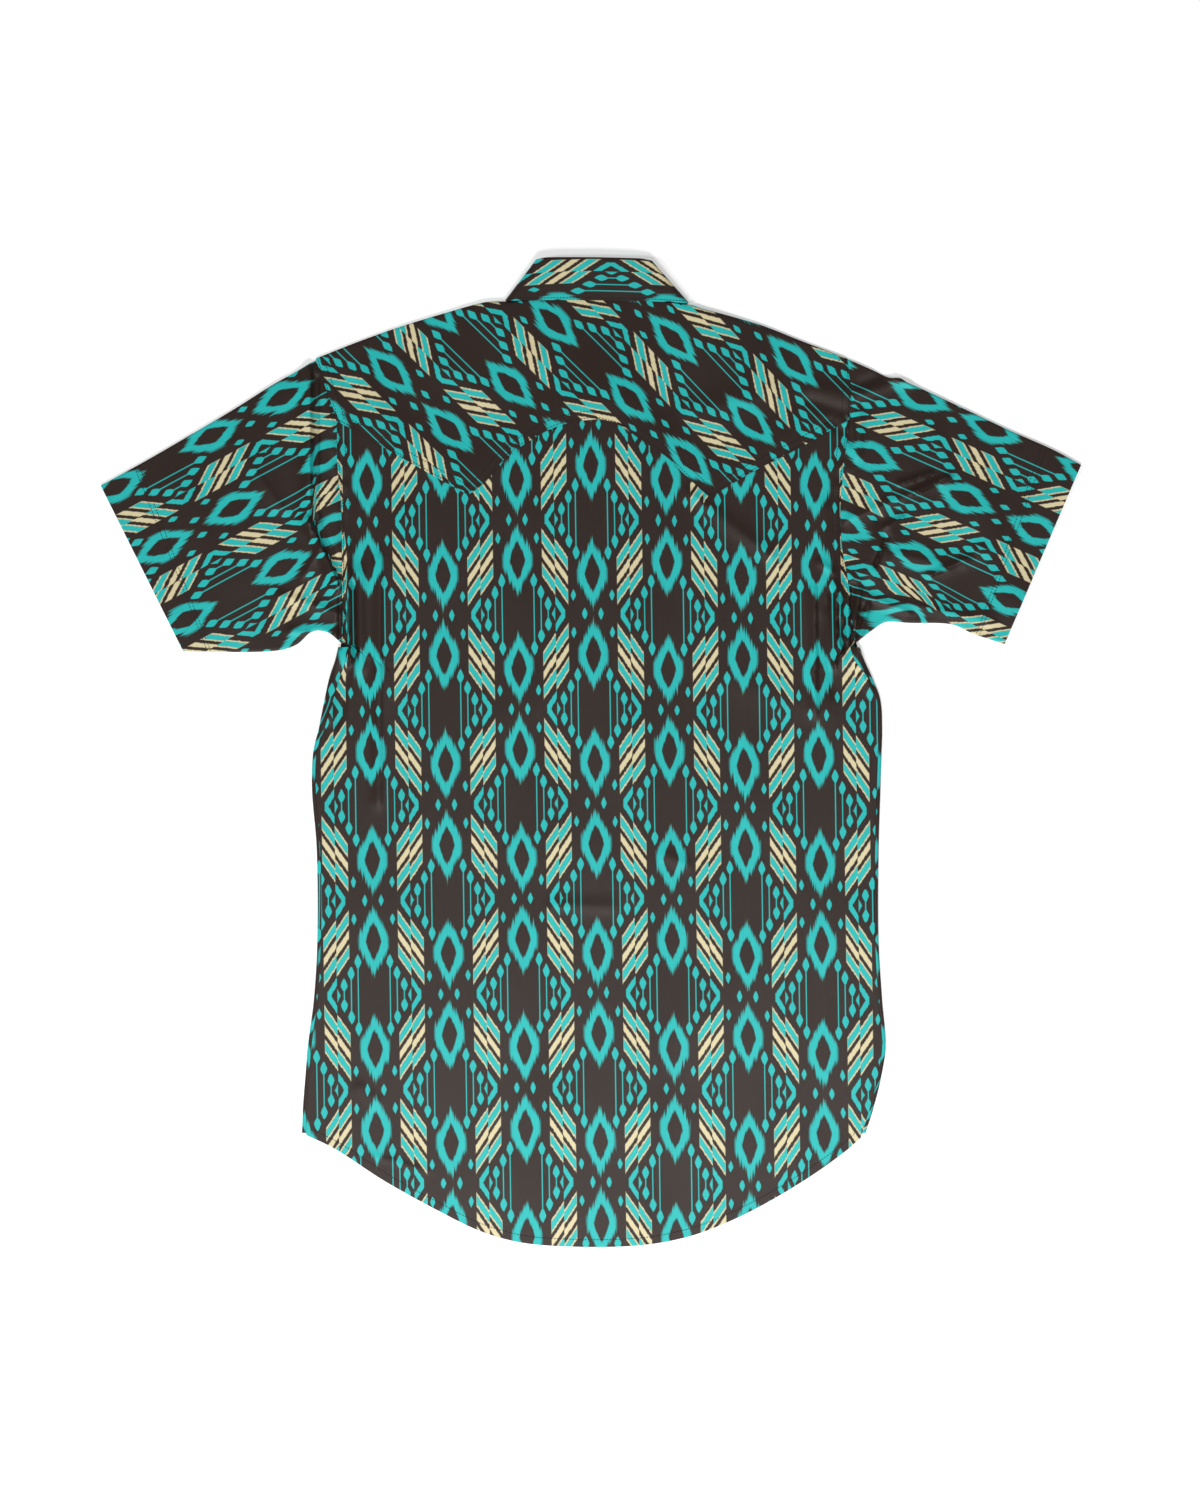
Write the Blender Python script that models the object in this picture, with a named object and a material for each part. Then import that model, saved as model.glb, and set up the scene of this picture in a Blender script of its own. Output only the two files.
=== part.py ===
"""Short-sleeved western shirt with snaps, laid face down on a flat surface, so that its back shows.

X runs across the shirt, Y from the hem to the collar, and Z up from the surface that it lies on. Sizes are
in millimetres, and a mesh turns them into metres. Each piece of cloth is a wall of even thickness round a
sheet of points: the fronts lie lowest, round off at the sides and end at the side seams, the back and its
pointed yoke lie on top, and the sleeves, the collar stand and the collar leaf are flattened tubes.
"""

from collections import namedtuple
import math

import bmesh
import bpy
from mathutils import Vector

METRE = 0.001

# Cloth and how its layers lie
WALL = 1.0                # thickness of one layer of cloth
HALF = WALL / 2
LAYER_GAP = 0.3           # air between two layers that lie on each other
LAYER = WALL + LAYER_GAP
SEAM = 0.25               # each edge keeps this far from the line of its seam
FOLD = 1.9                # outer radius of a fold, seen from above
SEAM_IN = FOLD + 1.5      # where a side seam lies on its fold, in from the outline
FRONT_Z = HALF            # middle of the fronts' wall, where they rest
BACK_Z = 3.3              # middle of the back's wall
HEM_DROP = 0.8            # the layers close up towards the hem by this much
HEM_DROP_LENGTH = 140.0

# Middle of the shirt and its neck
CENTRE = 4.6              # x of the centre front and centre back
LEAN = 0.012              # the neck falls this much for each millimetre to the right
NECK_HALF = 71.6          # half width of the neck between the shoulder points
NECK_BACK_Y = 377.0
NECK_SIDE_Y = 373.1
NECK_RISE = 2.0           # the yoke stands this much higher round the neck
FRONT_NECK_Y = 355.0      # where the front neck starts, at the shoulder seam
FRONT_NECK_HALF = 74.0
FRONT_NECK_DEPTH = 61.0
SHOULDER_LAND = 20.0      # the yoke rolls over the shoulder and ends this far in on the front
NECK_RISE_X = 95.0        # the rise round the neck is an ellipse of these half sizes,
NECK_RISE_Y = 62.0
NECK_RISE_START = 0.78    # which falls from this share of them
NECK_RISE_FADE = 0.9      # over this share

# Front closing
PLACKET_HALF = 17.5
SNAP_RADIUS = 5.5
SNAP_HEIGHT = 1.0
SNAP_FIRST_Y = 250.0
SNAP_PITCH = 88.0
SNAP_COUNT = 7
BAND_SNAP_Y = 309.0       # the snap that closes the collar stand
PLACKET_Z = SNAP_HEIGHT + LAYER_GAP + HALF
FRONT_LEFT_CENTRE_Z = PLACKET_Z + LAYER
FRONT_RIGHT_CENTRE_Z = FRONT_LEFT_CENTRE_Z + LAYER
CENTRE_RISE = FRONT_RIGHT_CENTRE_Z + LAYER + 0.1 - BACK_Z
LEFT_RAMP_IN, LEFT_RAMP = 2.0, 28.0      # the left front comes down past the placket over this length
RIGHT_RAMP_IN, RIGHT_RAMP = 3.0, 42.0
CENTRE_FLAT, CENTRE_RAMP = 22.0, 55.0    # and so does the back, on each side of the centre
CENTRE_TOP_Y, CENTRE_FADE = 290.0, 60.0  # the rise over the placket ends here, towards the neck

# A collar leaf under each front: its line and how far the front stays up round it
LEAF_LINE = (40.0, 282.0, 76.0, 368.0)
LEAF_REACH = 27.0
LEAF_FADE = 24.0

# Yoke and hem
YOKE_LAP = 12.0           # the back reaches this far under the yoke's edge
YOKE_SETTLE = 35.0        # and over this length the yoke comes down past the lap
FRONT_HEM_RISE = 12.0     # the front hem is this much shorter at the centre

# Ends of the armholes and of the side seams
SHOULDER_LEFT = (-233.0, 331.5)
SHOULDER_RIGHT = (216.5, 332.5)
ARMHOLE_END_Y = 94.0
SIDE_TOP_Y = 88.5
HEM_CORNER_Y = -322.0

# How finely the sheets are divided
YOKE_COLUMNS = 24
YOKE_ROWS = 6
BACK_ARM_ROWS = 8
FRONT_ARM_ROWS = 10
FRONT_NECK_ROWS = 7
SIDE_ROWS = 16
FRONT_COLUMNS = 5
# Columns near a front's edge: how far in from the edge they are, and at least how far from the neck
FRONT_LEFT_COLUMNS = ((67.0, 15.0), (52.0, 10.0), (37.5, 5.0), (0.0, 0.0))
FRONT_RIGHT_COLUMNS = ((80.0, 15.0), (60.0, 10.0), (38.5, 5.0), (0.0, 0.0))
ARC_STEPS = 4
SLEEVE_RINGS = 9
COLLAR_ROWS = 4
PLACKET_ROWS = 14
SNAP_SIDES = 12
NECK_TURN = 15.0          # degrees between two columns round the front neck

# Sections of the body below the arms. left and right are its outline, and the wraps say how far in from the
# outline the side seams lie on the back.
Section = namedtuple("Section", "y left right left_wrap right_wrap")
BODY = [
    Section(90.0, -214.0, 226.6, 9.5, 8.5),
    Section(77.0, -217.0, 231.0, 9.5, 8.5),
    Section(64.0, -221.5, 237.0, 9.0, 4.5),
    Section(44.0, -226.0, 244.5, 7.5, SEAM_IN),
    Section(19.0, -231.0, 246.0, 5.0, SEAM_IN),
    Section(0.0, -235.5, 245.5, SEAM_IN, SEAM_IN),
    Section(-32.0, -236.5, 244.5, SEAM_IN, SEAM_IN),
    Section(-83.0, -232.5, 243.0, SEAM_IN, SEAM_IN),
    Section(-159.0, -232.0, 243.0, SEAM_IN, SEAM_IN),
    Section(-210.0, -235.0, 246.0, SEAM_IN, SEAM_IN),
    Section(-248.0, -240.0, 249.0, SEAM_IN, SEAM_IN),
    Section(-273.0, -242.0, 245.5, SEAM_IN, SEAM_IN),
    Section(-298.0, -244.0, 239.5, SEAM_IN, SEAM_IN),
    Section(HEM_CORNER_Y, -245.0, 232.0, SEAM_IN, SEAM_IN),
]

# Armhole seams: the back's on top and the front's below it
Armhole = namedtuple("Armhole", "y back_left back_right front_left front_right")
ARMHOLES = [
    Armhole(332.0, -233.2, 216.3, -233.2, 216.3),
    Armhole(307.0, -224.5, 219.0, -221.0, 212.0),
    Armhole(281.0, -216.0, 218.0, -212.0, 207.0),
    Armhole(245.0, -215.0, 213.5, -207.0, 203.0),
    Armhole(205.0, -211.5, 210.5, -203.0, 201.0),
    Armhole(172.0, -211.0, 212.0, -202.0, 203.0),
    Armhole(140.0, -211.0, 217.5, -203.0, 208.0),
    Armhole(112.0, -210.5, 220.0, -207.0, 215.5),
    Armhole(91.0, -211.8, 223.6, -212.4, 225.0),
]

# Shoulder folds, from the armhole to the neck
Point = namedtuple("Point", "x y")
SHOULDER_FOLD_LEFT = [
    Point(-233.0, 333.0), Point(-195.0, 348.0), Point(-158.0, 361.0), Point(-118.0, 373.0),
    Point(-91.0, 380.0), Point(-80.0, 379.6), Point(-67.0, 376.0),
]
SHOULDER_FOLD_RIGHT = [
    Point(76.2, 374.2), Point(85.0, 376.0), Point(93.0, 373.6), Point(142.0, 361.0),
    Point(177.0, 348.0), Point(216.5, 333.0),
]

# The yoke's lower edge, in four runs that meet in its two points and in its middle peak
YOKE_EDGE = [
    [Point(-216.0, 280.0), Point(-182.0, 261.0), Point(-133.0, 233.0), Point(-104.0, 217.0)],
    [Point(-104.0, 217.0), Point(-88.0, 230.0), Point(-75.0, 246.0), Point(-55.0, 261.0),
     Point(-36.0, 272.0), Point(-16.0, 278.5), Point(5.0, 281.0)],
    [Point(5.0, 281.0), Point(25.0, 275.0), Point(41.0, 264.0), Point(65.0, 248.0),
     Point(80.0, 233.0), Point(100.0, 215.0)],
    [Point(100.0, 215.0), Point(134.0, 235.5), Point(174.0, 256.0), Point(218.0, 281.0)],
]

HEM = [
    Point(-245.0, -322.0), Point(-216.0, -336.0), Point(-176.0, -362.0), Point(-131.0, -387.0),
    Point(-94.0, -405.0), Point(-60.0, -414.5), Point(-20.0, -417.6), Point(25.0, -417.6),
    Point(62.0, -414.0), Point(95.0, -405.5), Point(137.0, -387.0), Point(180.0, -362.0),
    Point(214.0, -338.0), Point(232.0, -322.0),
]

# Outlines of the sleeves from the armhole, share 0, to the cuff, share 1
Edge = namedtuple("Edge", "share x y")
SLEEVE_LEFT_UPPER = [
    Edge(0.0, -233.5, 331.5), Edge(0.09, -248.0, 323.0), Edge(0.22, -271.0, 310.0),
    Edge(0.38, -301.0, 291.0), Edge(0.56, -333.0, 272.0), Edge(0.8, -376.0, 247.0),
    Edge(1.0, -415.0, 225.5),
]
SLEEVE_LEFT_UNDER = [
    Edge(0.0, -213.0, 91.0), Edge(0.1, -224.0, 100.0), Edge(0.2, -237.0, 101.0),
    Edge(0.32, -250.0, 90.0), Edge(0.45, -266.0, 85.0), Edge(0.72, -305.0, 84.0),
    Edge(1.0, -345.0, 85.0),
]
SLEEVE_RIGHT_UPPER = [
    Edge(0.0, 217.0, 332.5), Edge(0.12, 240.0, 323.0), Edge(0.3, 276.0, 309.0),
    Edge(0.5, 313.0, 291.5), Edge(0.7, 354.0, 272.0), Edge(0.88, 390.0, 256.0),
    Edge(1.0, 414.0, 243.0),
]
SLEEVE_RIGHT_UNDER = [
    Edge(0.0, 226.0, 91.0), Edge(0.12, 238.5, 101.5), Edge(0.23, 250.0, 109.0),
    Edge(0.4, 270.0, 108.5), Edge(0.66, 305.0, 107.5), Edge(0.82, 323.0, 99.5),
    Edge(1.0, 349.0, 91.0),
]

# Collar sections from the centre back, step 0, to the centre front, step 8. x is measured from the centre.
Collar = namedtuple("Collar", "step x y z fold_x fold_y fold_z")
STAND = [
    Collar(0.0, 0.0, 377.9, 5.3, 0.0, 414.5, 8.4),
    Collar(1.0, 36.0, 377.5, 5.3, 22.0, 414.5, 8.2),
    Collar(2.0, 60.0, 375.2, 5.3, 35.0, 413.2, 7.9),
    Collar(2.6, 69.2, 374.4, 5.1, 41.0, 410.4, 7.0),
    Collar(3.0, 70.6, 375.6, 3.55, 42.4, 411.6, 4.9),
    Collar(3.4, 69.2, 374.2, 2.0, 41.0, 410.0, 2.9),
    Collar(4.0, 73.2, 355.0, 1.8, 38.5, 400.0, 2.0),
    Collar(5.0, 67.6, 331.8, 1.8, 34.0, 382.0, 1.8),
    Collar(6.0, 51.8, 312.3, 1.8, 21.0, 360.0, 1.8),
    Collar(7.0, 28.0, 299.2, 1.8, 9.0, 340.0, 1.8),
    Collar(8.0, 0.0, 294.7, 1.8, 0.0, 325.0, 1.8),
    Collar(9.0, -17.5, 296.4, 1.8, -12.0, 327.0, 1.8),
]
LEAF = [
    Collar(0.0, 0.0, 379.6, 7.6, 0.0, 416.8, 10.2),
    Collar(1.0, 38.0, 379.8, 7.5, 24.0, 416.6, 10.0),
    Collar(2.0, 66.0, 380.4, 7.1, 38.5, 416.2, 9.2),
    Collar(2.6, 75.8, 382.0, 6.2, 44.6, 413.6, 8.4),
    Collar(3.0, 77.6, 383.6, 3.4, 46.4, 415.0, 5.2),
    Collar(3.4, 77.2, 382.2, 1.2, 45.6, 413.4, 1.8),
    Collar(4.0, 78.3, 372.0, 0.5, 42.0, 402.0, 0.6),
    Collar(5.0, 76.5, 350.0, 0.5, 36.0, 386.0, 0.5),
    Collar(6.0, 71.0, 324.0, 0.5, 28.0, 370.0, 0.5),
    Collar(7.0, 60.0, 291.0, 0.5, 15.0, 345.0, 0.5),
    Collar(8.0, 44.5, 262.0, 0.5, 5.0, 328.0, 0.5),
]
COLLAR_COLUMNS = [0.0, 0.5, 1.0, 1.5, 2.0, 2.3, 2.6, 2.8, 3.0, 3.2, 3.4, 3.7]
COLLAR_COLUMNS += [4 + column * 4 / 6 for column in range(7)]   # every NECK_TURN
STAND_END = 9.0           # the stand's ends pass each other at the centre front
STAND_LAP_START = 5.2     # the right end lifts over the left one from this step on
STAND_LAP_FADE = 1.6
FRONT_NECK_STEP = 4       # from this step on the stand follows the fronts' neck

ARMHOLE_FADE = 1.5        # a sleeve takes on its armhole's shape by this power of the way to its cuff

# Half section of a snap cap, face down: radius as a share of the whole, and height
SNAP_PROFILE = [(0.0, 0.25), (0.72, 0.2), (0.8, 0.0), (0.93, 0.0), (1.0, 0.4), (0.96, 1.0), (0.0, 1.0)]

# Largest folds of the top layer: soft ridges and troughs along a line
Crease = namedtuple("Crease", "x1 y1 x2 y2 height width")
CREASES = [
    Crease(-238.0, 318.0, -236.0, 200.0, 1.6, 9.0),
    Crease(-236.0, 200.0, -218.0, 146.0, 1.3, 9.0),
    Crease(-258.0, 300.0, -300.0, 150.0, 0.8, 26.0),
    Crease(-350.0, 225.0, -300.0, 110.0, 0.6, 22.0),
    Crease(240.0, 318.0, 268.0, 288.0, -0.6, 10.0),
    Crease(262.0, 211.0, 318.0, 238.0, 1.2, 11.0),
    Crease(250.0, 172.0, 300.0, 160.0, 1.0, 13.0),
    Crease(238.0, 182.0, 226.0, 120.0, 1.8, 8.0),
    Crease(330.0, 200.0, 350.0, 130.0, 0.8, 24.0),
    Crease(205.0, 196.0, 196.0, 110.0, 0.9, 10.0),
    Crease(211.0, 122.0, 219.0, 84.0, 1.5, 6.0),
    Crease(191.0, 128.0, 191.0, 40.0, -0.6, 7.0),
    Crease(-177.0, 128.0, -178.0, -40.0, -0.6, 8.0),
    Crease(-199.0, 132.0, -199.0, 70.0, 1.5, 6.0),
    Crease(-190.0, -330.0, -150.0, -342.0, 0.8, 10.0),
    Crease(-120.0, 330.0, -70.0, 300.0, 0.7, 24.0),
    Crease(88.0, 285.0, 150.0, 300.0, 0.7, 22.0),
    Crease(-60.0, -120.0, 20.0, -126.0, 0.5, 20.0),
    Crease(120.0, 60.0, 196.0, 34.0, 0.5, 18.0),
    Crease(-160.0, 190.0, -170.0, 60.0, 0.6, 26.0),
    Crease(60.0, -250.0, 150.0, -180.0, 0.5, 30.0),
]

BROWN = (0.045, 0.03, 0.026, 1.0)
TEAL = (0.03, 0.42, 0.4, 1.0)
PEARL = (0.75, 0.72, 0.66, 1.0)


def clear_objects():
    for thing in list(bpy.data.objects):
        bpy.data.objects.remove(thing, do_unlink=True)


def material(name, colour, roughness, metallic=0.0):
    made = bpy.data.materials.new(name)
    made.use_nodes = True
    shader = made.node_tree.nodes["Principled BSDF"]
    shader.inputs["Base Color"].default_value = colour
    shader.inputs["Roughness"].default_value = roughness
    shader.inputs["Metallic"].default_value = metallic
    return made


# Curves and weights

def through(rows, knot, value, at):
    """Value at a place on the smooth curve through a table's rows, sorted by their knot."""
    rows = sorted(rows, key=lambda row: getattr(row, knot))
    places = [getattr(row, knot) for row in rows]
    values = [getattr(row, value) for row in rows]
    last = len(rows) - 1
    i = 0
    while i < last - 1 and at > places[i + 1]:
        i += 1

    def slope(k):
        low, high = max(k - 1, 0), min(k + 1, last)
        return (values[high] - values[low]) / (places[high] - places[low])

    span = places[i + 1] - places[i]
    t = min(max((at - places[i]) / span, 0.0), 1.0)
    start, end = values[i], values[i + 1]
    bend = (t * t * t - 2 * t * t + t) * span * slope(i) + (t * t * t - t * t) * span * slope(i + 1)
    return start + (3 * t * t - 2 * t * t * t) * (end - start) + bend


def blend(start, end, share):
    return start + (end - start) * share


def ease(value):
    """0 to 1 with level ends."""
    value = min(max(value, 0.0), 1.0)
    return value * value * (3 - 2 * value)


def distance_to_line(x, y, x1, y1, x2, y2):
    along_x, along_y = x2 - x1, y2 - y1
    share = ((x - x1) * along_x + (y - y1) * along_y) / (along_x ** 2 + along_y ** 2)
    share = min(max(share, 0.0), 1.0)
    return math.hypot(x - x1 - along_x * share, y - y1 - along_y * share)


# Outlines and seams, seen from above

def outline(y, side):
    return through(BODY, "y", side, min(y, BODY[0].y))


def side_seam(y, side):
    """x of the side seam on the back, on the left or the right."""
    inward = 1 if side == "left" else -1
    return outline(y, side) + inward * through(BODY, "y", side + "_wrap", min(y, BODY[0].y))


def armhole(y, which):
    return through(ARMHOLES, "y", which, y)


def shoulder_fold(x):
    return through(SHOULDER_FOLD_LEFT if x < CENTRE else SHOULDER_FOLD_RIGHT, "x", "y", x)


def yoke_edge(share):
    """Point of the yoke's lower edge. Its points and its peak are at quarters of the way."""
    run = min(int(share * 4), 3)
    rows = YOKE_EDGE[run]
    x = blend(rows[0].x, rows[-1].x, share * 4 - run)
    return x, through(rows, "x", "y", x)


def yoke_edge_y(x):
    for rows in YOKE_EDGE:
        if x <= rows[-1].x:
            break
    return through(rows, "x", "y", max(x, rows[0].x))


def back_neck(share):
    """Neck seam of the yoke, from the left shoulder point to the right one."""
    x = -NECK_HALF + 2 * NECK_HALF * share
    rise = (NECK_BACK_Y - NECK_SIDE_Y) * math.sin(math.pi * share)
    return CENTRE + x, NECK_SIDE_Y + rise - LEAN * x


def front_neck(turn):
    """Neck seam of the fronts: turn 0 is the left shoulder seam, 90 the centre and 180 the right seam."""
    x = -FRONT_NECK_HALF * math.cos(math.radians(turn))
    return CENTRE + x, FRONT_NECK_Y - FRONT_NECK_DEPTH * math.sin(math.radians(turn)) - LEAN * x


def shoulder_seam_y(x):
    """The straight seam on the front where the yoke ends, from the armhole to the neck."""
    arm_x, arm_y = SHOULDER_LEFT if x < CENTRE else SHOULDER_RIGHT
    neck_x, neck_y = front_neck(0 if x < CENTRE else 180)
    share = (x - arm_x) / (neck_x - arm_x)
    return blend(arm_y - SHOULDER_LAND, neck_y, share)


def front_hem(x):
    from_centre = (x - CENTRE) / (CENTRE - HEM[0].x)
    return through(HEM, "x", "y", x) + FRONT_HEM_RISE * max(0.0, 1 - from_centre ** 2)


# Heights of the layers, at the middle of their walls

def collar_under(x, y):
    """1 where a leaf of the collar lies under the front, 0 away from it."""
    away = distance_to_line(abs(x - CENTRE), y, *LEAF_LINE)
    return 1 - ease((away - LEAF_REACH) / LEAF_FADE)


def front_base_z(x, y):
    return FRONT_Z + (LAYER + LAYER_GAP) * collar_under(x, y)


def front_left_z(x, y):
    share = 1 - ease((CENTRE - x - PLACKET_HALF - LEFT_RAMP_IN) / LEFT_RAMP)
    return blend(front_base_z(x, y), FRONT_LEFT_CENTRE_Z, share)


def front_right_z(x, y):
    share = 1 - ease((x - CENTRE - PLACKET_HALF - RIGHT_RAMP_IN) / RIGHT_RAMP)
    return blend(front_base_z(x, y), FRONT_RIGHT_CENTRE_Z, share)


def creases_z(x, y):
    total = 0.0
    for crease in CREASES:
        away = distance_to_line(x, y, crease.x1, crease.y1, crease.x2, crease.y2) / crease.width
        total += crease.height * math.exp(-away * away)
    return total


def top_z(x, y):
    """The back and the tops of the sleeves."""
    middle = 1 - ease((abs(x - CENTRE) - CENTRE_FLAT) / CENTRE_RAMP)
    centre = CENTRE_RISE * middle * (1 - ease((y - CENTRE_TOP_Y) / CENTRE_FADE))
    from_neck = math.hypot((x - CENTRE) / NECK_RISE_X, (y - NECK_BACK_Y) / NECK_RISE_Y)
    neck = NECK_RISE * (1 - ease((from_neck - NECK_RISE_START) / NECK_RISE_FADE))
    hem = HEM_DROP * (1 - middle) * ease((HEM_CORNER_Y + HEM_DROP_LENGTH - y) / HEM_DROP_LENGTH)
    return BACK_Z + centre + neck - hem + creases_z(x, y)


def yoke_z(x, y):
    past_lap = y - yoke_edge_y(x) - YOKE_LAP
    return top_z(x, y) + LAYER * (1 - ease(past_lap / YOKE_SETTLE))


# Sheets and walls

class Sheet:
    """The middle of a cloth wall: its points and four-sided faces."""

    def __init__(self):
        self.points = []
        self.faces = []

    def row(self, points):
        start = len(self.points)
        self.points.extend(Vector(point) for point in points)
        return list(range(start, len(self.points)))

    def join(self, rows, closed=False):
        for low, high in zip(rows, rows[1:]):
            count = len(low)
            for i in range(count if closed else count - 1):
                j = (i + 1) % count
                self.faces.append((low[i], low[j], high[j], high[i]))

    def normals(self):
        normals = [Vector() for _ in self.points]
        for face in self.faces:
            a, b, c, d = (self.points[i] for i in face)
            across = (c - a).cross(d - b)
            for i in face:
                normals[i] += across
        return [normal.normalized() for normal in normals]


def add_object(name, vertices, faces, look):
    mesh = bpy.data.meshes.new(name)
    mesh.from_pydata([Vector(point) * METRE for point in vertices], [], faces)
    mesh.materials.append(look)
    build = bmesh.new()
    build.from_mesh(mesh)
    bmesh.ops.recalc_face_normals(build, faces=build.faces)
    build.to_mesh(mesh)
    build.free()
    mesh.shade_smooth()
    mesh.set_sharp_from_angle(angle=math.radians(40))
    made = bpy.data.objects.new(name, mesh)
    bpy.context.scene.collection.objects.link(made)
    return made


def cloth(name, sheet, look):
    """A closed wall, half its thickness to each side of the sheet."""
    normals = sheet.normals()
    count = len(sheet.points)
    vertices = [point + normal * HALF for point, normal in zip(sheet.points, normals)]
    vertices += [point - normal * HALF for point, normal in zip(sheet.points, normals)]
    faces = list(sheet.faces)
    faces += [tuple(i + count for i in reversed(face)) for face in sheet.faces]
    edges = {}
    for face in sheet.faces:
        for a, b in zip(face, face[1:] + face[:1]):
            edges[(a, b)] = True
    for a, b in edges:
        if (b, a) not in edges:
            faces.append((b, a, a + count, b + count))
    return add_object(name, vertices, faces, look)


def patch_point(left, right, top, bottom, s, t):
    """Point of the patch between four edges: s runs from left to right and t from top to bottom."""
    corners = (top(0), top(1), bottom(0), bottom(1))
    point = []
    for k in range(2):
        sides = blend(left(t)[k], right(t)[k], s) + blend(top(s)[k], bottom(s)[k], t)
        upper = blend(corners[0][k], corners[1][k], s)
        lower = blend(corners[2][k], corners[3][k], s)
        point.append(sides - blend(upper, lower, t))
    return point


def fold_arc(upper_z, lower_z):
    """Steps round a fold, from above to below: how far out of its centre, and how high."""
    middle = (upper_z + lower_z) / 2
    reach = (upper_z - lower_z) / 2
    turns = [math.pi * step / ARC_STEPS for step in range(1, ARC_STEPS + 1)]
    return [((FOLD - HALF) * math.sin(turn), middle + reach * math.cos(turn)) for turn in turns]


# Body

def arm_stations(which):
    """Heights up the armhole where the yoke, the back and the front each have a point at their edge."""
    shoulder = SHOULDER_LEFT if which == "left" else SHOULDER_RIGHT
    inward = SEAM if which == "left" else -SEAM
    yoke_end = YOKE_EDGE[0][0].y if which == "left" else YOKE_EDGE[-1][-1].y
    top_y = shoulder_fold(shoulder[0] + inward) - FOLD
    yoke = [blend(top_y, yoke_end, row / YOKE_ROWS) for row in range(YOKE_ROWS + 1)]
    back = [blend(yoke_end, ARMHOLE_END_Y, row / BACK_ARM_ROWS) for row in range(BACK_ARM_ROWS + 1)]
    seam_y = shoulder_seam_y(armhole(shoulder[1] - SHOULDER_LAND, "front_" + which))
    land = [blend(top_y, seam_y, share) for share in (0.0, 0.5, 1.0)]
    front = [blend(seam_y - 2 * SEAM, ARMHOLE_END_Y, row / FRONT_ARM_ROWS)
             for row in range(FRONT_ARM_ROWS + 1)]
    return yoke, back, land, front


def back_sheet():
    """The back, from under the yoke's edge to the hem, between the armholes and the side seams."""
    lap_share, arm_share = 0.02, 0.33

    def side(t, which, inward):
        stations = arm_stations(which)[1]
        if t < lap_share:
            y = stations[0] + YOKE_LAP * (1 - t / lap_share)
            return armhole(y, "back_" + which) + inward * SEAM, y
        if t < arm_share:
            y = blend(stations[0], stations[-1], (t - lap_share) / (arm_share - lap_share))
            return armhole(y, "back_" + which) + inward * SEAM, y
        y = blend(SIDE_TOP_Y, HEM_CORNER_Y, (t - arm_share) / (1 - arm_share))
        return side_seam(y, which) + inward * SEAM, y

    def top(s):
        if s in (0, 1):
            return side(0, "right" if s else "left", -1 if s else 1)
        x, y = yoke_edge(s)
        return x, y + YOKE_LAP

    def bottom(s):
        if s in (0, 1):
            return side(1, "right" if s else "left", -1 if s else 1)
        x = blend(side(1, "left", 1)[0], side(1, "right", -1)[0], s)
        return x, through(HEM, "x", "y", x)

    just_before = arm_share - 1e-6
    shares = [0] + [blend(lap_share, just_before, row / BACK_ARM_ROWS) for row in range(BACK_ARM_ROWS + 1)]
    shares += [blend(arm_share, 1, row / SIDE_ROWS) for row in range(SIDE_ROWS + 1)]
    sheet = Sheet()
    rows = []
    for t in shares:
        points = []
        for column in range(YOKE_COLUMNS + 1):
            x, y = patch_point(lambda v: side(v, "left", 1), lambda v: side(v, "right", -1),
                               top, bottom, column / YOKE_COLUMNS, t)
            points.append((x, y, top_z(x, y)))
        rows.append(sheet.row(points))
    sheet.join(rows)
    return sheet


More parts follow.
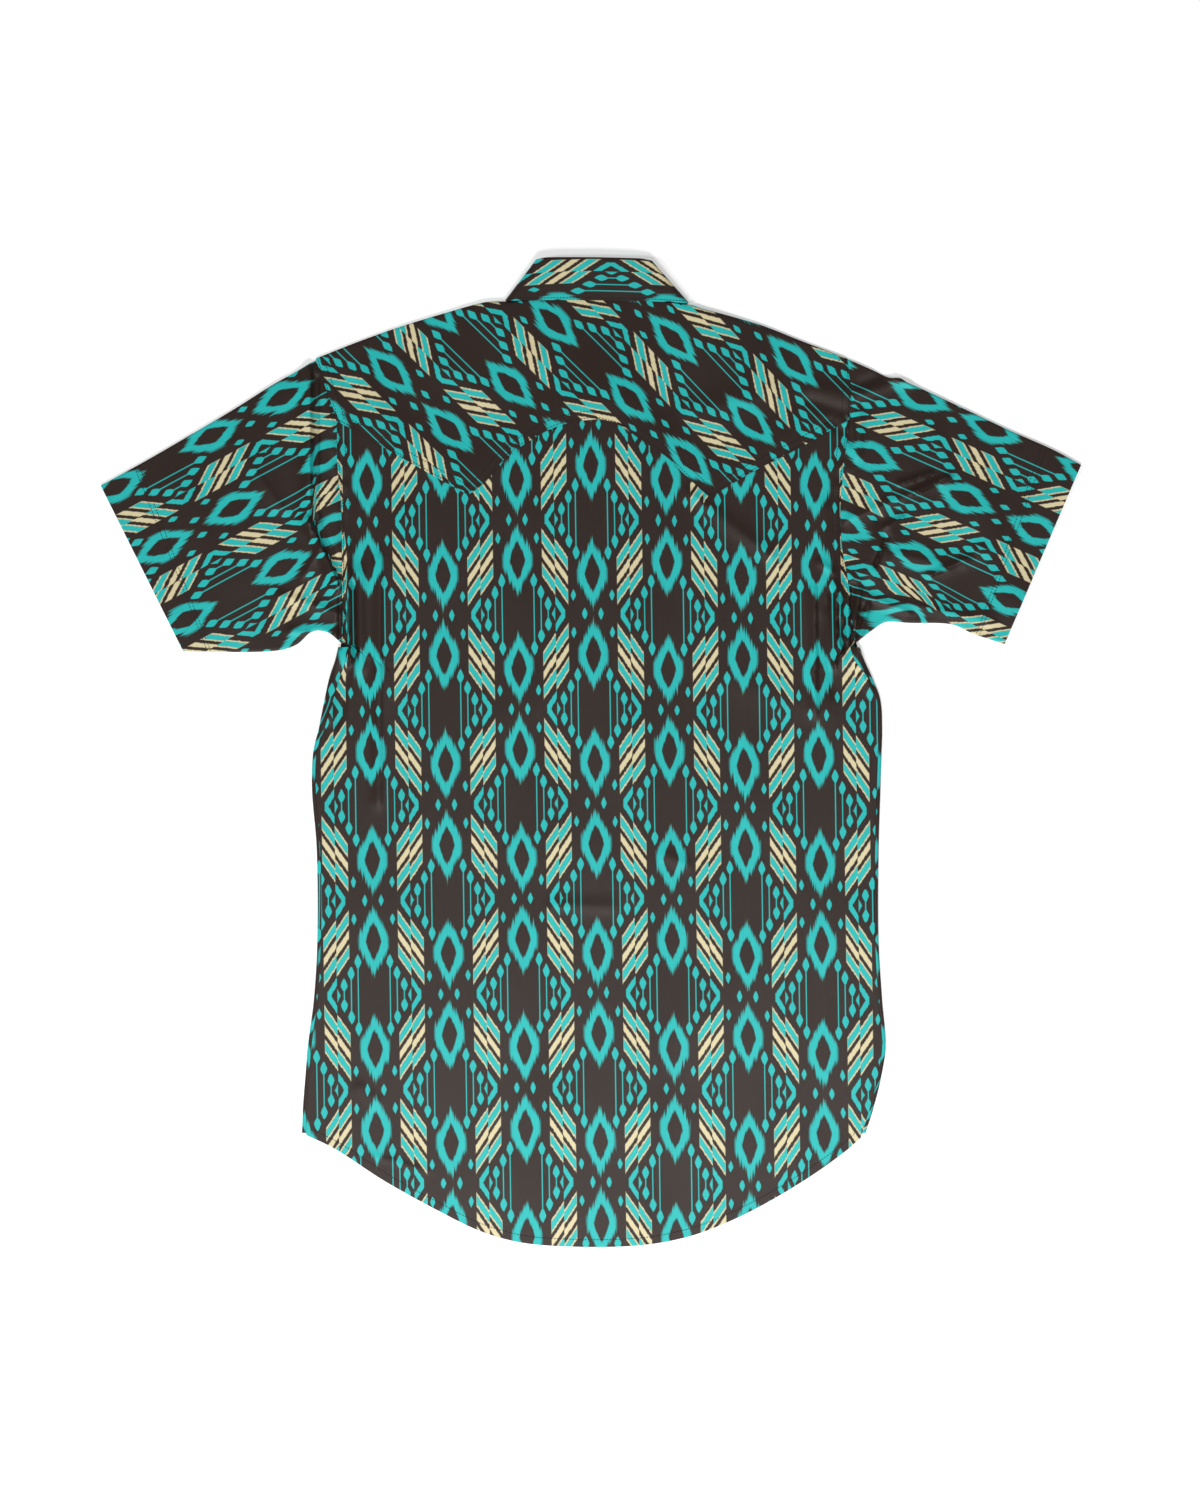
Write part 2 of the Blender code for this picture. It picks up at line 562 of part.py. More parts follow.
def yoke_sheet():
    """The yoke, with its pointed edge, the neck, and a roll over each shoulder to the front."""
    neck_start, neck_end = 1 / 3, 2 / 3

    def shoulder_x(s):
        if s <= neck_start:
            return blend(SHOULDER_LEFT[0] + SEAM, CENTRE - NECK_HALF, s / neck_start)
        return blend(CENTRE + NECK_HALF, SHOULDER_RIGHT[0] - SEAM, (s - neck_end) / (1 - neck_end))

    def top(s):
        if neck_start < s < neck_end:
            return back_neck((s - neck_start) / (neck_end - neck_start))
        x = shoulder_x(s)
        return x, shoulder_fold(x) - FOLD

    def side(t, which, inward):
        end = 0 if which == "left" else 1
        y = blend(top(end)[1], yoke_edge(end)[1], t)
        return armhole(y, "back_" + which) + inward * SEAM, y

    def bottom(s):
        if s in (0, 1):
            return side(1, "right" if s else "left", -1 if s else 1)
        return yoke_edge(s)

    def top_row(s):
        return top(s) if 0 < s < 1 else side(0, "right" if s else "left", -1 if s else 1)

    def front_seam(s):
        """Where the yoke ends on the front, at the shoulder seam."""
        if s <= neck_start:
            share = s / neck_start
            arm_x = armhole(SHOULDER_LEFT[1] - SHOULDER_LAND, "front_left") + SEAM
            x = blend(arm_x, CENTRE - FRONT_NECK_HALF, share)
        else:
            share = (1 - s) / (1 - neck_end)
            arm_x = armhole(SHOULDER_RIGHT[1] - SHOULDER_LAND, "front_right") - SEAM
            x = blend(arm_x, CENTRE + FRONT_NECK_HALF, share)
        return x, shoulder_seam_y(x)

    sheet = Sheet()
    rows = []
    for row in range(YOKE_ROWS + 1):
        points = []
        for column in range(YOKE_COLUMNS + 1):
            x, y = patch_point(lambda v: side(v, "left", 1), lambda v: side(v, "right", -1),
                               top_row, bottom, column / YOKE_COLUMNS, row / YOKE_ROWS)
            points.append((x, y, yoke_z(x, y)))
        rows.append(sheet.row(points))
    sheet.join(rows)
    neck_column = YOKE_COLUMNS // 3
    for columns in (range(neck_column + 1), range(YOKE_COLUMNS - neck_column, YOKE_COLUMNS + 1)):
        lines = []
        for column in columns:
            s = column / YOKE_COLUMNS
            start = rows[0][column]
            x, y, upper = sheet.points[start]
            seam_x, seam_y = front_seam(s)
            points = [(x, y + out, z) for out, z in fold_arc(upper, front_base_z(x, y))]
            for share in (0.5, 1.0):
                land_x, land_y = blend(x, seam_x, share), blend(y, seam_y, share)
                points.append((land_x, land_y, front_base_z(land_x, land_y)))
            lines.append([start] + sheet.row(points))
        sheet.join(lines)
    return sheet


def front_sheet(which):
    """A front on the surface, from the centre to the side, where it folds up and over to the side seam."""
    left = which == "left"
    outward = -1 if left else 1
    height = front_left_z if left else front_right_z
    shoulder = SHOULDER_LEFT if left else SHOULDER_RIGHT
    seam_top_y = shoulder_seam_y(armhole(shoulder[1] - SHOULDER_LAND, "front_" + which)) - 2 * SEAM
    edge_x = CENTRE - outward * PLACKET_HALF
    neck_share, arm_share = 0.28, 0.4
    last_turn = 90 + math.degrees(math.asin(PLACKET_HALF / FRONT_NECK_HALF))
    edge_columns = FRONT_LEFT_COLUMNS if left else FRONT_RIGHT_COLUMNS

    def outer(t):
        if t < arm_share:
            y = blend(seam_top_y, ARMHOLE_END_Y, t / arm_share)
            return armhole(y, "front_" + which) - outward * SEAM, y
        y = blend(SIDE_TOP_Y, HEM_CORNER_Y, (t - arm_share) / (1 - arm_share))
        return outline(y, which) - outward * FOLD, y

    def inner(t):
        if t < neck_share:
            turn = min(NECK_TURN * FRONT_NECK_ROWS * t / neck_share, last_turn)
            x, y = front_neck(turn if left else 180 - turn)
            return x, y - 2 * SEAM
        neck_y = front_neck(last_turn if left else 180 - last_turn)[1] - 2 * SEAM
        return edge_x, blend(neck_y, front_hem(edge_x), (t - neck_share) / (1 - neck_share))

    def top(s):
        if s in (0, 1):
            return inner(0) if s else outer(0)
        x = blend(outer(0)[0], inner(0)[0], s)
        return x, shoulder_seam_y(x) - 2 * SEAM

    def bottom(s):
        x = blend(outer(1)[0], edge_x, s)
        return x, front_hem(x) if s else HEM_CORNER_Y

    just_before = arm_share - 1e-6
    shares = [just_before * row / FRONT_ARM_ROWS for row in range(FRONT_ARM_ROWS + 1)]
    shares += [blend(arm_share, 1, row / SIDE_ROWS) for row in range(SIDE_ROWS + 1)]
    sheet = Sheet()
    rows = []
    for t in shares:
        width = abs(inner(t)[0] - outer(t)[0])
        past_edge = abs(inner(t)[0] - edge_x)
        near = [1 - max(distance - past_edge, room) / width for distance, room in edge_columns]
        columns = [near[0] * column / FRONT_COLUMNS for column in range(FRONT_COLUMNS)] + near
        points = []
        for s in columns:
            x, y = patch_point(outer, inner, top, bottom, s, t)
            points.append((x, y, height(x, y)))
        rows.append(sheet.row(points))
    sheet.join(rows)

    lines = []
    for row in rows[FRONT_ARM_ROWS + 1:]:
        x, y, lower = sheet.points[row[0]]
        seam_x = side_seam(y, which) + outward * SEAM
        upper = top_z(seam_x, y)
        arc = [(x + outward * out, y, z) for out, z in reversed(fold_arc(upper, lower)[:-1])]
        over = [(x, y, top_z(x, y)), (seam_x, y, upper)]
        lines.append(list(reversed([row[0]] + sheet.row(arc + over))))
    sheet.join(lines)
    return sheet


def placket_sheet():
    """The strip that carries the snaps, under the left front's edge."""
    sheet = Sheet()
    rows = []
    for row in range(PLACKET_ROWS + 1):
        share = row / PLACKET_ROWS
        points = []
        for column in (-1, 0, 1):
            x = CENTRE + column * PLACKET_HALF
            turn = 90 + math.degrees(math.asin(column * PLACKET_HALF / FRONT_NECK_HALF))
            neck_y = front_neck(turn)[1] - 2 * SEAM
            points.append((x, blend(neck_y, front_hem(x), share), PLACKET_Z))
        rows.append(sheet.row(points))
    sheet.join(rows)
    return sheet


def sleeve_sheet(which):
    """A sleeve as a flattened tube, open at the armhole and at the cuff."""
    left = which == "left"
    upper_rows = SLEEVE_LEFT_UPPER if left else SLEEVE_RIGHT_UPPER
    under_rows = SLEEVE_LEFT_UNDER if left else SLEEVE_RIGHT_UNDER
    outward = -1 if left else 1

    def ends(u):
        upper = Vector((through(upper_rows, "share", "x", u), through(upper_rows, "share", "y", u)))
        under = Vector((through(under_rows, "share", "x", u), through(under_rows, "share", "y", u)))
        return upper, under

    first_upper, first_under = ends(0)

    yoke, back, land, front = arm_stations(which)
    fall = first_upper.y - first_under.y

    def across(u, y, layer):
        """Point of the top or bottom layer, at the armhole's station y for u 0 and straight at the cuff."""
        upper, under = ends(u)
        margin = FOLD / (under - upper).length
        share = min(max((first_upper.y - y) / fall, margin), 1 - margin)
        straight = first_upper.lerp(first_under, (first_upper.y - y) / fall)
        seam = Vector((armhole(y, layer + which) + outward * SEAM, y))
        return upper.lerp(under, share) + (seam - straight) * (1 - u) ** ARMHOLE_FADE

    def round_fold(top, low, away, upper_z):
        arc = fold_arc(upper_z, front_base_z(*low))[:-1]
        places = [top.lerp(low, (i + 1) / ARC_STEPS) + away * out for i, (out, z) in enumerate(arc)]
        return [(place.x, place.y, z) for place, (out, z) in zip(places, arc)]

    sheet = Sheet()
    rings = []
    for ring in range(SLEEVE_RINGS + 1):
        u = ring / SLEEVE_RINGS
        upper, under = ends(u)
        down = (under - upper).normalized()
        tops = [across(u, y, "back_") for y in yoke + back[1:]]
        lows = [across(u, y, "front_") for y in land + front[1:]]
        points = [(p.x, p.y, top_z(p.x, p.y)) for p in tops]
        points += round_fold(tops[-1], lows[-1], down, points[-1][2])
        points += [(p.x, p.y, front_base_z(p.x, p.y)) for p in reversed(lows)]
        points += reversed(round_fold(tops[0], lows[0], -down, points[0][2]))
        rings.append(sheet.row(points))
    sheet.join(rings, closed=True)
    return sheet


# Collar

def stand_edge(step):
    """Lower edge of the stand, which follows the seam of the fronts' neck."""
    place = collar_place(STAND, step, "")
    if abs(step) >= FRONT_NECK_STEP:
        turn = 90 * (abs(step) - FRONT_NECK_STEP) / (LEAF[-1].step - FRONT_NECK_STEP)
        x, y = front_neck(turn if step < 0 else 180 - turn)
        centre_x, centre_y = CENTRE, FRONT_NECK_Y
        inward = 1 - 3 * SEAM / FRONT_NECK_DEPTH
        place.x, place.y = blend(centre_x, x, inward), blend(centre_y, y, inward)
    return place


def collar_place(rows, step, part):
    """Plan and height of a collar section at a step, on the left below 0 and on the right above it."""
    x = through(rows, "step", part + "x", abs(step)) * (-1 if step < 0 else 1)
    y = through(rows, "step", part + "y", abs(step)) - LEAN * x
    return Vector((CENTRE + x, y, max(through(rows, "step", part + "z", abs(step)), HALF)))


def collar_sheet(rows, steps, edge_of, right_lift):
    """A band round the neck, from its lower edge to the fold of the collar."""
    sheet = Sheet()
    lines = []
    for step in steps:
        edge = edge_of(step)
        fold = collar_place(rows, step, "fold_")
        lift = right_lift * ease((step - STAND_LAP_START) / STAND_LAP_FADE)
        up = Vector((0, 0, lift))
        lines.append(sheet.row(edge.lerp(fold, row / COLLAR_ROWS) + up for row in range(COLLAR_ROWS + 1)))
    sheet.join(lines)
    return sheet


def stand_sheet():
    steps = COLLAR_COLUMNS + [STAND_END]
    return collar_sheet(STAND, [-step for step in reversed(steps[1:])] + steps, stand_edge, LAYER)


def leaf_sheet():
    steps = [-step for step in reversed(COLLAR_COLUMNS[1:])] + COLLAR_COLUMNS
    return collar_sheet(LEAF, steps, lambda step: collar_place(LEAF, step, ""), 0.0)


# Snaps

def snap(name, x, y, look):
    """A round cap, face down, with a raised rim round its pearl."""
    vertices = [(x, y, SNAP_PROFILE[0][1] * SNAP_HEIGHT)]
    for radius, height in SNAP_PROFILE[1:-1]:
        for side in range(SNAP_SIDES):
            turn = 2 * math.pi * side / SNAP_SIDES
            vertices.append((x + SNAP_RADIUS * radius * math.cos(turn),
                             y + SNAP_RADIUS * radius * math.sin(turn), height * SNAP_HEIGHT))
    vertices.append((x, y, SNAP_HEIGHT))
    last = len(vertices) - 1
    faces = []
    for side in range(SNAP_SIDES):
        after = (side + 1) % SNAP_SIDES
        faces.append((0, 1 + side, 1 + after))
        faces.append((last, last - SNAP_SIDES + after, last - SNAP_SIDES + side))
        for ring in range(len(SNAP_PROFILE) - 3):
            start = 1 + ring * SNAP_SIDES
            faces.append((start + side, start + SNAP_SIDES + side,
                          start + SNAP_SIDES + after, start + after))
    add_object(name, vertices, faces, look)


def main():
    clear_objects()
    print_cloth = material("printed_cloth", BROWN, 0.8)
    yoke_cloth = material("yoke_cloth", TEAL, 0.8)
    pearl = material("snap_pearl", PEARL, 0.3)
    cloth("back", back_sheet(), print_cloth)
    cloth("yoke", yoke_sheet(), yoke_cloth)
    for which in ("left", "right"):
        cloth("front_" + which, front_sheet(which), print_cloth)
        cloth("sleeve_" + which, sleeve_sheet(which), print_cloth)
    cloth("placket", placket_sheet(), print_cloth)
    cloth("collar_stand", stand_sheet(), print_cloth)
    cloth("collar_leaf", leaf_sheet(), yoke_cloth)
    snap("snap_band", CENTRE, BAND_SNAP_Y, pearl)
    for number in range(SNAP_COUNT):
        snap(f"snap_{number + 1}", CENTRE, SNAP_FIRST_Y - SNAP_PITCH * number, pearl)


main()
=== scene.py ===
"""Short-sleeved western shirt with snaps, laid face down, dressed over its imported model.

Sizes in the tables are millimetres in the frame of the model: X across the shirt, Y from the hem to the
collar, Z up from the surface. Each piece of cloth is a thin closed wall round a sheet of points that lies
where its solid lies, and the sheet carries the print in its UV map, in metres of cloth.
"""

from collections import namedtuple
from functools import reduce
import math

import bmesh
import bpy
import numpy as np
from bpy.props import FloatProperty, FloatVectorProperty, PointerProperty
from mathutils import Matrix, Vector


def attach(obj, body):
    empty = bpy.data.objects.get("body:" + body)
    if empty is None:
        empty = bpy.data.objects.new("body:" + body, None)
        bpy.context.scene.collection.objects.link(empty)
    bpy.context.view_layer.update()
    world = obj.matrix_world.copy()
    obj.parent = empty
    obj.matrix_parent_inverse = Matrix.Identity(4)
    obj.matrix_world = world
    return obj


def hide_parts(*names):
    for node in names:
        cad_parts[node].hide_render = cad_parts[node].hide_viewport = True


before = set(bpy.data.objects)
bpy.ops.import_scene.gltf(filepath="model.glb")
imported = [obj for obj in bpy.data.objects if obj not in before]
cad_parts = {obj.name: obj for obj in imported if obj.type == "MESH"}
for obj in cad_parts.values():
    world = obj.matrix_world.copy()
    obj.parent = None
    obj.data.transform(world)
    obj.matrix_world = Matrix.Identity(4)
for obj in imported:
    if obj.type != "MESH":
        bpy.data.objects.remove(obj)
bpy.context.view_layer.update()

bl_info = {
    "name": "Snap shirt",
    "version": (1, 0, 0),
    "blender": (4, 5, 0),
    "location": "3D View > Sidebar > Snap shirt",
    "description": "Makes a laid western shirt: pointed yoke, feathered print, stitching and snaps",
    "category": "Object",
}

METRE = 0.001
ROUNDING = 1e-9
PHOTO_SIZE = (1200, 1500)
PHOTO_SCALE = 0.845          # millimetres of cloth for each pixel of the photo
PHOTO_ZERO = (591.5, 752.0)  # pixel that lies over the frame's origin

# How the layers lie, as in the solids
LAYER = 1.3                  # from the middle of one layer to the middle of the next
SEAM = 0.14                  # from a seam to the edge of each piece that it joins
FOLD = 1.9                   # from the outline to a fold's centre
FOLD_REACH = 1.4             # from a fold's centre to the middle of its wall
SEAM_IN = FOLD + 1.5         # from the outline to a side seam, which lies on the back
FRONT_Z = 0.5
BACK_Z = 3.3
HEM_DROP = 0.8               # how much nearer the surface the back lies at the hem, off its middle
HEM_DROP_LENGTH = 140.0
CENTRE = 4.6                 # the middle of the shirt
LEAN = 0.012                 # how much nearer the hem the neck and the collar lie, a millimetre to the right
NECK_HALF = 71.6
NECK_BACK_Y = 382.2
NECK_CORNER = 0.6            # below 1, the back neck is flatter in the middle and rounder at its ends
NECK_SIDE_Y = 378.6
NECK_RISE = 2.0              # how much higher the cloth lies round the back of the neck
NECK_RISE_X = 95.0
NECK_RISE_Y = 62.0
NECK_RISE_START = 0.78
NECK_RISE_FADE = 0.9
FRONT_NECK_Y = 355.0
FRONT_NECK_HALF = 74.0
FRONT_NECK_DEPTH = 61.0
SHOULDER_LAND = 20.0         # how far the yoke reaches down the fronts at its armhole ends
PLACKET_HALF = 17.5
PLACKET_Z = 1.8
FRONT_LEFT_CENTRE_Z = PLACKET_Z + LAYER
FRONT_RIGHT_CENTRE_Z = FRONT_LEFT_CENTRE_Z + LAYER
CENTRE_RISE = FRONT_RIGHT_CENTRE_Z + LAYER + 0.1 - BACK_Z
LEFT_RAMP_IN, LEFT_RAMP = 2.0, 28.0
RIGHT_RAMP_IN, RIGHT_RAMP = 3.0, 42.0
CENTRE_FLAT, CENTRE_RAMP = 22.0, 55.0
CENTRE_TOP_Y, CENTRE_FADE = 290.0, 60.0
LEAF_LINE = (40.0, 282.0, 76.0, 368.0)
LEAF_REACH = 27.0
LEAF_FADE = 24.0
LEAF_LIFT = LAYER + 0.3      # how far the collar's leaf lifts the fronts
YOKE_LAP = 12.0              # how far the back reaches under the yoke
YOKE_SETTLE = 35.0
FRONT_HEM_RISE = 12.0
SHOULDER_LEFT = (-233.0, 331.5)
SHOULDER_RIGHT = (216.5, 332.5)
ARMHOLE_END_Y = 94.0
SIDE_TOP_Y = 88.5
HEM_CORNER_Y = -322.0
ARMHOLE_FADE = 1.5
STAND_LAP_START = 5.2        # steps of the STAND table: where one end of the stand rises over the other,
STAND_LAP_FADE = 1.6
FRONT_NECK_STEP = 4          # where it starts to follow the front neck, and where it ends
STAND_END = 9.0

SNAP_RADIUS = 5.5
SNAP_HEIGHT = 1.0
SNAP_COUNT, SNAP_PITCH = 7, 88.0
SNAP_TOP_Y, SNAP_BAND_Y = 250.0, 309.0
SNAP_YS = [SNAP_BAND_Y] + [SNAP_TOP_Y - SNAP_PITCH * number for number in range(SNAP_COUNT)]
SNAP_NAMES = ["snap_band"] + [f"snap_{number + 1}" for number in range(SNAP_COUNT)]
PEARL_WARM, PEARL_COOL, PEARL_BANDS = (0.78, 0.74, 0.66, 1.0), (0.86, 0.87, 0.84, 1.0), 18.0
RIM_DARK, RIM_LIGHT = (0.55, 0.55, 0.56, 1.0), (0.72, 0.72, 0.72, 1.0)


def rows_of(kind, rows):
    return [kind(*row) for row in rows]


Section = namedtuple("Section", "y left right left_wrap right_wrap")
BODY = rows_of(Section, [
    (90, -214, 226.6, 9.5, 8.5),
    (77, -217, 231, 9.5, 8.5),
    (64, -221.5, 237, 9, 4.5),
    (44, -226, 244.5, 7.5, SEAM_IN),
    (19, -231, 246, 5, SEAM_IN),
    (0, -235.5, 245.5, SEAM_IN, SEAM_IN),
    (-32, -236.5, 244.5, SEAM_IN, SEAM_IN),
    (-83, -232.5, 243, SEAM_IN, SEAM_IN),
    (-159, -232, 243, SEAM_IN, SEAM_IN),
    (-210, -235, 246, SEAM_IN, SEAM_IN),
    (-248, -240, 249, SEAM_IN, SEAM_IN),
    (-273, -242, 245.5, SEAM_IN, SEAM_IN),
    (-298, -244, 239.5, SEAM_IN, SEAM_IN),
    (HEM_CORNER_Y, -245, 232, SEAM_IN, SEAM_IN),
])

Armhole = namedtuple("Armhole", "y back_left back_right front_left front_right")
ARMHOLES = rows_of(Armhole, [
    (332, -233.2, 216.3, -233.2, 216.3),
    (307, -224.5, 219, -221, 212),
    (281, -216, 218, -212, 207),
    (245, -215, 213.5, -207, 203),
    (205, -211.5, 210.5, -203, 201),
    (172, -211, 212, -202, 203),
    (140, -211, 217.5, -203, 208),
    (112, -210.5, 220, -207, 215.5),
    (91, -211.8, 223.6, -212.4, 225),
])

Point = namedtuple("Point", "x y")
SHOULDER_FOLD_LEFT = rows_of(Point, [
    (-233, 333), (-195, 348), (-158, 361), (-118, 373),
    (-91, 380.2), (-80, 380.9), (-67, 380.9),
])
SHOULDER_FOLD_RIGHT = rows_of(Point, [
    (76.2, 379), (85, 377.9), (93, 375.2), (142, 361.6),
    (177, 348), (216.5, 333),
])
YOKE_EDGE = [rows_of(Point, run) for run in [
    [(-216, 280), (-182, 261), (-133, 233), (-104, 217)],
    [(-104, 217), (-88, 230), (-75, 246), (-55, 261),
     (-36, 272), (-16, 278.5), (5, 281)],
    [(5, 281), (25, 275), (41, 264), (65, 248),
     (80, 233), (100, 215)],
    [(100, 215), (134, 235.5), (174, 256), (218, 281)],
]]
HEM = rows_of(Point, [
    (-245, -322), (-216, -336), (-176, -362), (-131, -387),
    (-94, -405), (-60, -414.5), (-20, -417.6), (25, -417.6),
    (62, -414), (95, -405.5), (137, -387), (180, -362),
    (214, -338), (232, -322),
])

Edge = namedtuple("Edge", "share x y")
SLEEVE_EDGES = {side: [rows_of(Edge, rows) for rows in edges] for side, edges in {
    "left": (
        [(0, -233.5, 331.5), (0.09, -248, 323), (0.22, -271, 310),
         (0.38, -301, 291), (0.56, -333, 272), (0.8, -376, 247),
         (1, -415, 225.5)],
        [(0, -213, 91), (0.1, -224, 100), (0.2, -237, 101),
         (0.32, -250, 90), (0.45, -266, 85), (0.72, -305, 84),
         (1, -345, 85)],
    ),
    "right": (
        [(0, 217, 332.5), (0.12, 238.5, 323), (0.175, 252, 316.8), (0.22, 261.5, 316.2),
         (0.25, 267, 312.6), (0.3, 276, 309),
         (0.5, 313, 291.5), (0.7, 354, 272), (0.88, 390, 256),
         (1, 414, 243)],
        [(0, 226, 91), (0.12, 238.5, 101.5), (0.23, 250, 109),
         (0.4, 270, 108.5), (0.66, 305, 107.5), (0.82, 323, 99.5),
         (1, 349, 91)],
    ),
}.items()}

Collar = namedtuple("Collar", "step x y z fold_x fold_y fold_z")
STAND = rows_of(Collar, [
    (0, 0, 383.4, 5.3, 0, 414.5, 8.4),
    (1, 36, 383, 5.3, 22, 414.5, 8.2),
    (2, 60, 382, 5.3, 36, 413.2, 7.9),
    (2.6, 69.2, 380.6, 5.1, 42.4, 410.4, 7),
    (3, 70.6, 380.8, 3.55, 44, 411.6, 4.9),
    (3.4, 69.2, 379, 2, 42.6, 410, 2.9),
    (4, 73.2, 355, 1.8, 38.5, 400, 2),
    (5, 67.6, 331.8, 1.8, 34, 382, 1.8),
    (6, 51.8, 312.3, 1.8, 21, 360, 1.8),
    (7, 28, 299.2, 1.8, 9, 340, 1.8),
    (8, 0, 294.7, 1.8, 0, 325, 1.8),
    (9, -17.5, 296.4, 1.8, -12, 327, 1.8),
])
LEAF = rows_of(Collar, [
    (0, 0, 381.2, 7.6, 0, 416.6, 10.2),
    (1, 38, 381, 7.5, 25, 416.4, 10),
    (2, 66, 380.3, 7.2, 41.6, 416.1, 9.3),
    (2.6, 75.6, 379.9, 6.4, 47.6, 415.2, 8.4),
    (3, 77.4, 380.6, 3.4, 48.8, 415, 5.2),
    (3.4, 76.6, 379.8, 1.2, 47.8, 413.8, 1.8),
    (4, 76.6, 372, 0.5, 42, 402, 0.6),
    (5, 75.5, 350, 0.5, 36, 386, 0.5),
    (6, 71, 324, 0.5, 28, 370, 0.5),
    (7, 60, 291, 0.5, 15, 345, 0.5),
    (8, 44.5, 262, 0.5, 5, 328, 0.5),
])
FOLD_SHIFT = -2.4            # how far the fold of the collar lies off its middle

# Folds of the top layer: a ridge, or with a height below 0 a trough. sharp makes one side of a fold steep,
# as where cloth laps over: its sign says which.
Crease = namedtuple("Crease", "x1 y1 x2 y2 height width sharp")
CREASES = rows_of(Crease, [
    # left sleeve: the lap along the armhole, and what runs into the underarm
    (-236.5, 322, -236.5, 194, 3.3, 8, 0.9),
    (-236.5, 194, -213.5, 143, 3, 7, 0.9),
    (-231.8, 316, -231.8, 196, -2.2, 2.8, 0),
    (-231.8, 196, -209.5, 146, -2.1, 2.8, 0),
    (-228, 172, -241, 150, 1.3, 4, 0.4),
    (-214, 116, -262, 131, 1.6, 5, 0.3),
    (-216, 101, -254, 103, 1.5, 4, -0.3),
    (-258, 300, -300, 150, 1.3, 22, 0),
    (-350, 225, -300, 110, 1, 18, 0),
    (-300, 262, -262, 210, 1, 8, 0.4),
    # left side of the back
    (-204, 150, -204, 84, 2.6, 12, 0),
    (-203.5, 152, -202.5, 78, 1.8, 4, 0.8),
    (-206.5, 162, -206, 94, -3.2, 2.2, 0),
    (-212.5, 130, -213, 94, -2.8, 2.2, 0),
    (-199.8, 142, -199, 78, -3.4, 2.2, 0),
    (-196.5, 150, -195, 70, 1.5, 5, 0),
    (-205, 310, -204, 180, -0.8, 6, 0),
    (-214, 82, -222, 28, 1.5, 4, 0),
    (-206, 70, -214, 24, -1, 4, 0),
    (-177, 162, -178, -40, 1.5, 7, 0.7),
    (-160, 190, -170, 60, 0.8, 20, 0),
    # right shoulder and the top of the right sleeve
    (226, 311, 247, 319, -1.7, 4, 0),
    (228, 303, 254, 311, 1.5, 5, 0),
    (253, 315, 268, 309, 2, 4, -0.5),
    (184, 308, 214, 302, 1.5, 8, 0),
    (186, 296, 214, 287, -1.4, 5, 0),
    (202, 279, 211, 272, -2, 4, 0),
    (220, 284, 220.5, 262, -2.1, 3, 0),
    (226, 286, 225, 250, 1.3, 4, 0),
    # wrinkles across the right sleeve
    (262, 225.5, 286, 234, 2, 3.5, -0.8),
    (273, 218, 301, 230.5, 2.6, 4, -0.8),
    (249, 189, 262, 197, 1.8, 3, -0.7),
    (288, 149, 317, 161.5, 2.2, 4, -0.7),
    (218, 195, 264, 214, 1.6, 6, -0.4),
    (236, 152, 250, 186, 1.8, 10, 0),
    (240, 158, 249.5, 181, -3.8, 2, 0),
    (250, 172, 300, 160, 1.4, 10, 0.3),
    (315, 160, 327, 171, 1.5, 6, 0),
    (244, 196, 252, 170, -1.2, 5, 0),
    (262, 128, 336, 112, 1.5, 7, 0.3),
    (235, 129, 266, 117, 1.8, 4.5, -0.5),
    (330, 200, 350, 130, 1.3, 18, 0),
    (290, 268, 300, 225, 1, 9, 0),
    # bunched cloth at the right underarm: a low mound, cut by deep narrow folds
    (213, 140, 216, 84, 3, 15, 0),
    (203, 134, 206, 80, -3, 2.4, 0),
    (209, 114, 214.5, 84, -3.2, 2, 0),
    (229, 122, 222, 92, -3, 2, 0),
    (228, 134, 217, 94, 2.4, 3.6, 0.8),
    (235, 124, 227, 96, 2, 2.8, 0.6),
    (221, 140, 219, 94, -3.8, 2.2, 0),
    (214.5, 144, 212, 92, -4, 2.4, 0),
    (208, 140, 207, 74, 2.2, 4, 0.8),
    (193, 161, 204, 153, 1.6, 3, 0.5),
    (224, 92, 229, 66, 2, 2.8, 0.6),
    (201.5, 122, 205, 52, -1.4, 5, 0),
    (190, 134, 190.5, 36, 1.8, 6, 0.7),
    (196, 206, 194, 120, 1.3, 8, 0),
    (222, 84, 236, 52, 1.5, 4, 0),
    # the rest of the back, and its hem
    (88, 218, 152, 169, 1.5, 8, 0.5),
    (120, 60, 196, 34, 0.7, 14, 0),
    (-31, -128, 15, -129, 1, 6, 0.3),
    (64, -88, 79, -95, 1, 5, 0),
    (60, -250, 150, -180, 0.7, 24, 0),
    (-183, -341, -138, -353.5, 0.8, 2.4, 0.7),
    (-196, -284, -182, -296, 1, 5, 0),
    (-70, 30, -10, 70, 0.6, 20, 0),
    # yoke
    (-120, 330, -70, 300, 1, 16, 0.3),
    (88, 285, 150, 300, 1.1, 14, -0.3),
    (-190, 320, -178, 285, 0.8, 9, 0),
])
CREASE_EDGE = 0.2            # how much of a fold's width its steep side takes, less the sharper it is
SHARPEST = 1.3
DEEPEST = 1.9                # how far the top layer can sink before it meets the layer below

# The armhole seams: how far the cloth sinks at them, and the puckers that run into them, which come and go
SEAM_TROUGH, SEAM_TROUGH_WIDTH, SEAM_FADE = 0.8, 2.4, 12
PUCKER, PUCKER_WIDTH, PUCKER_LENGTH = 0.42, 8.0, 3.4
PUCKER_DRIFT, PUCKER_DRIFT_LENGTH = 2.1, 19.0
PUCKER_EVEN, PUCKER_UNEVEN, PUCKER_UNEVEN_LENGTH = 0.6, 0.4, 31.0

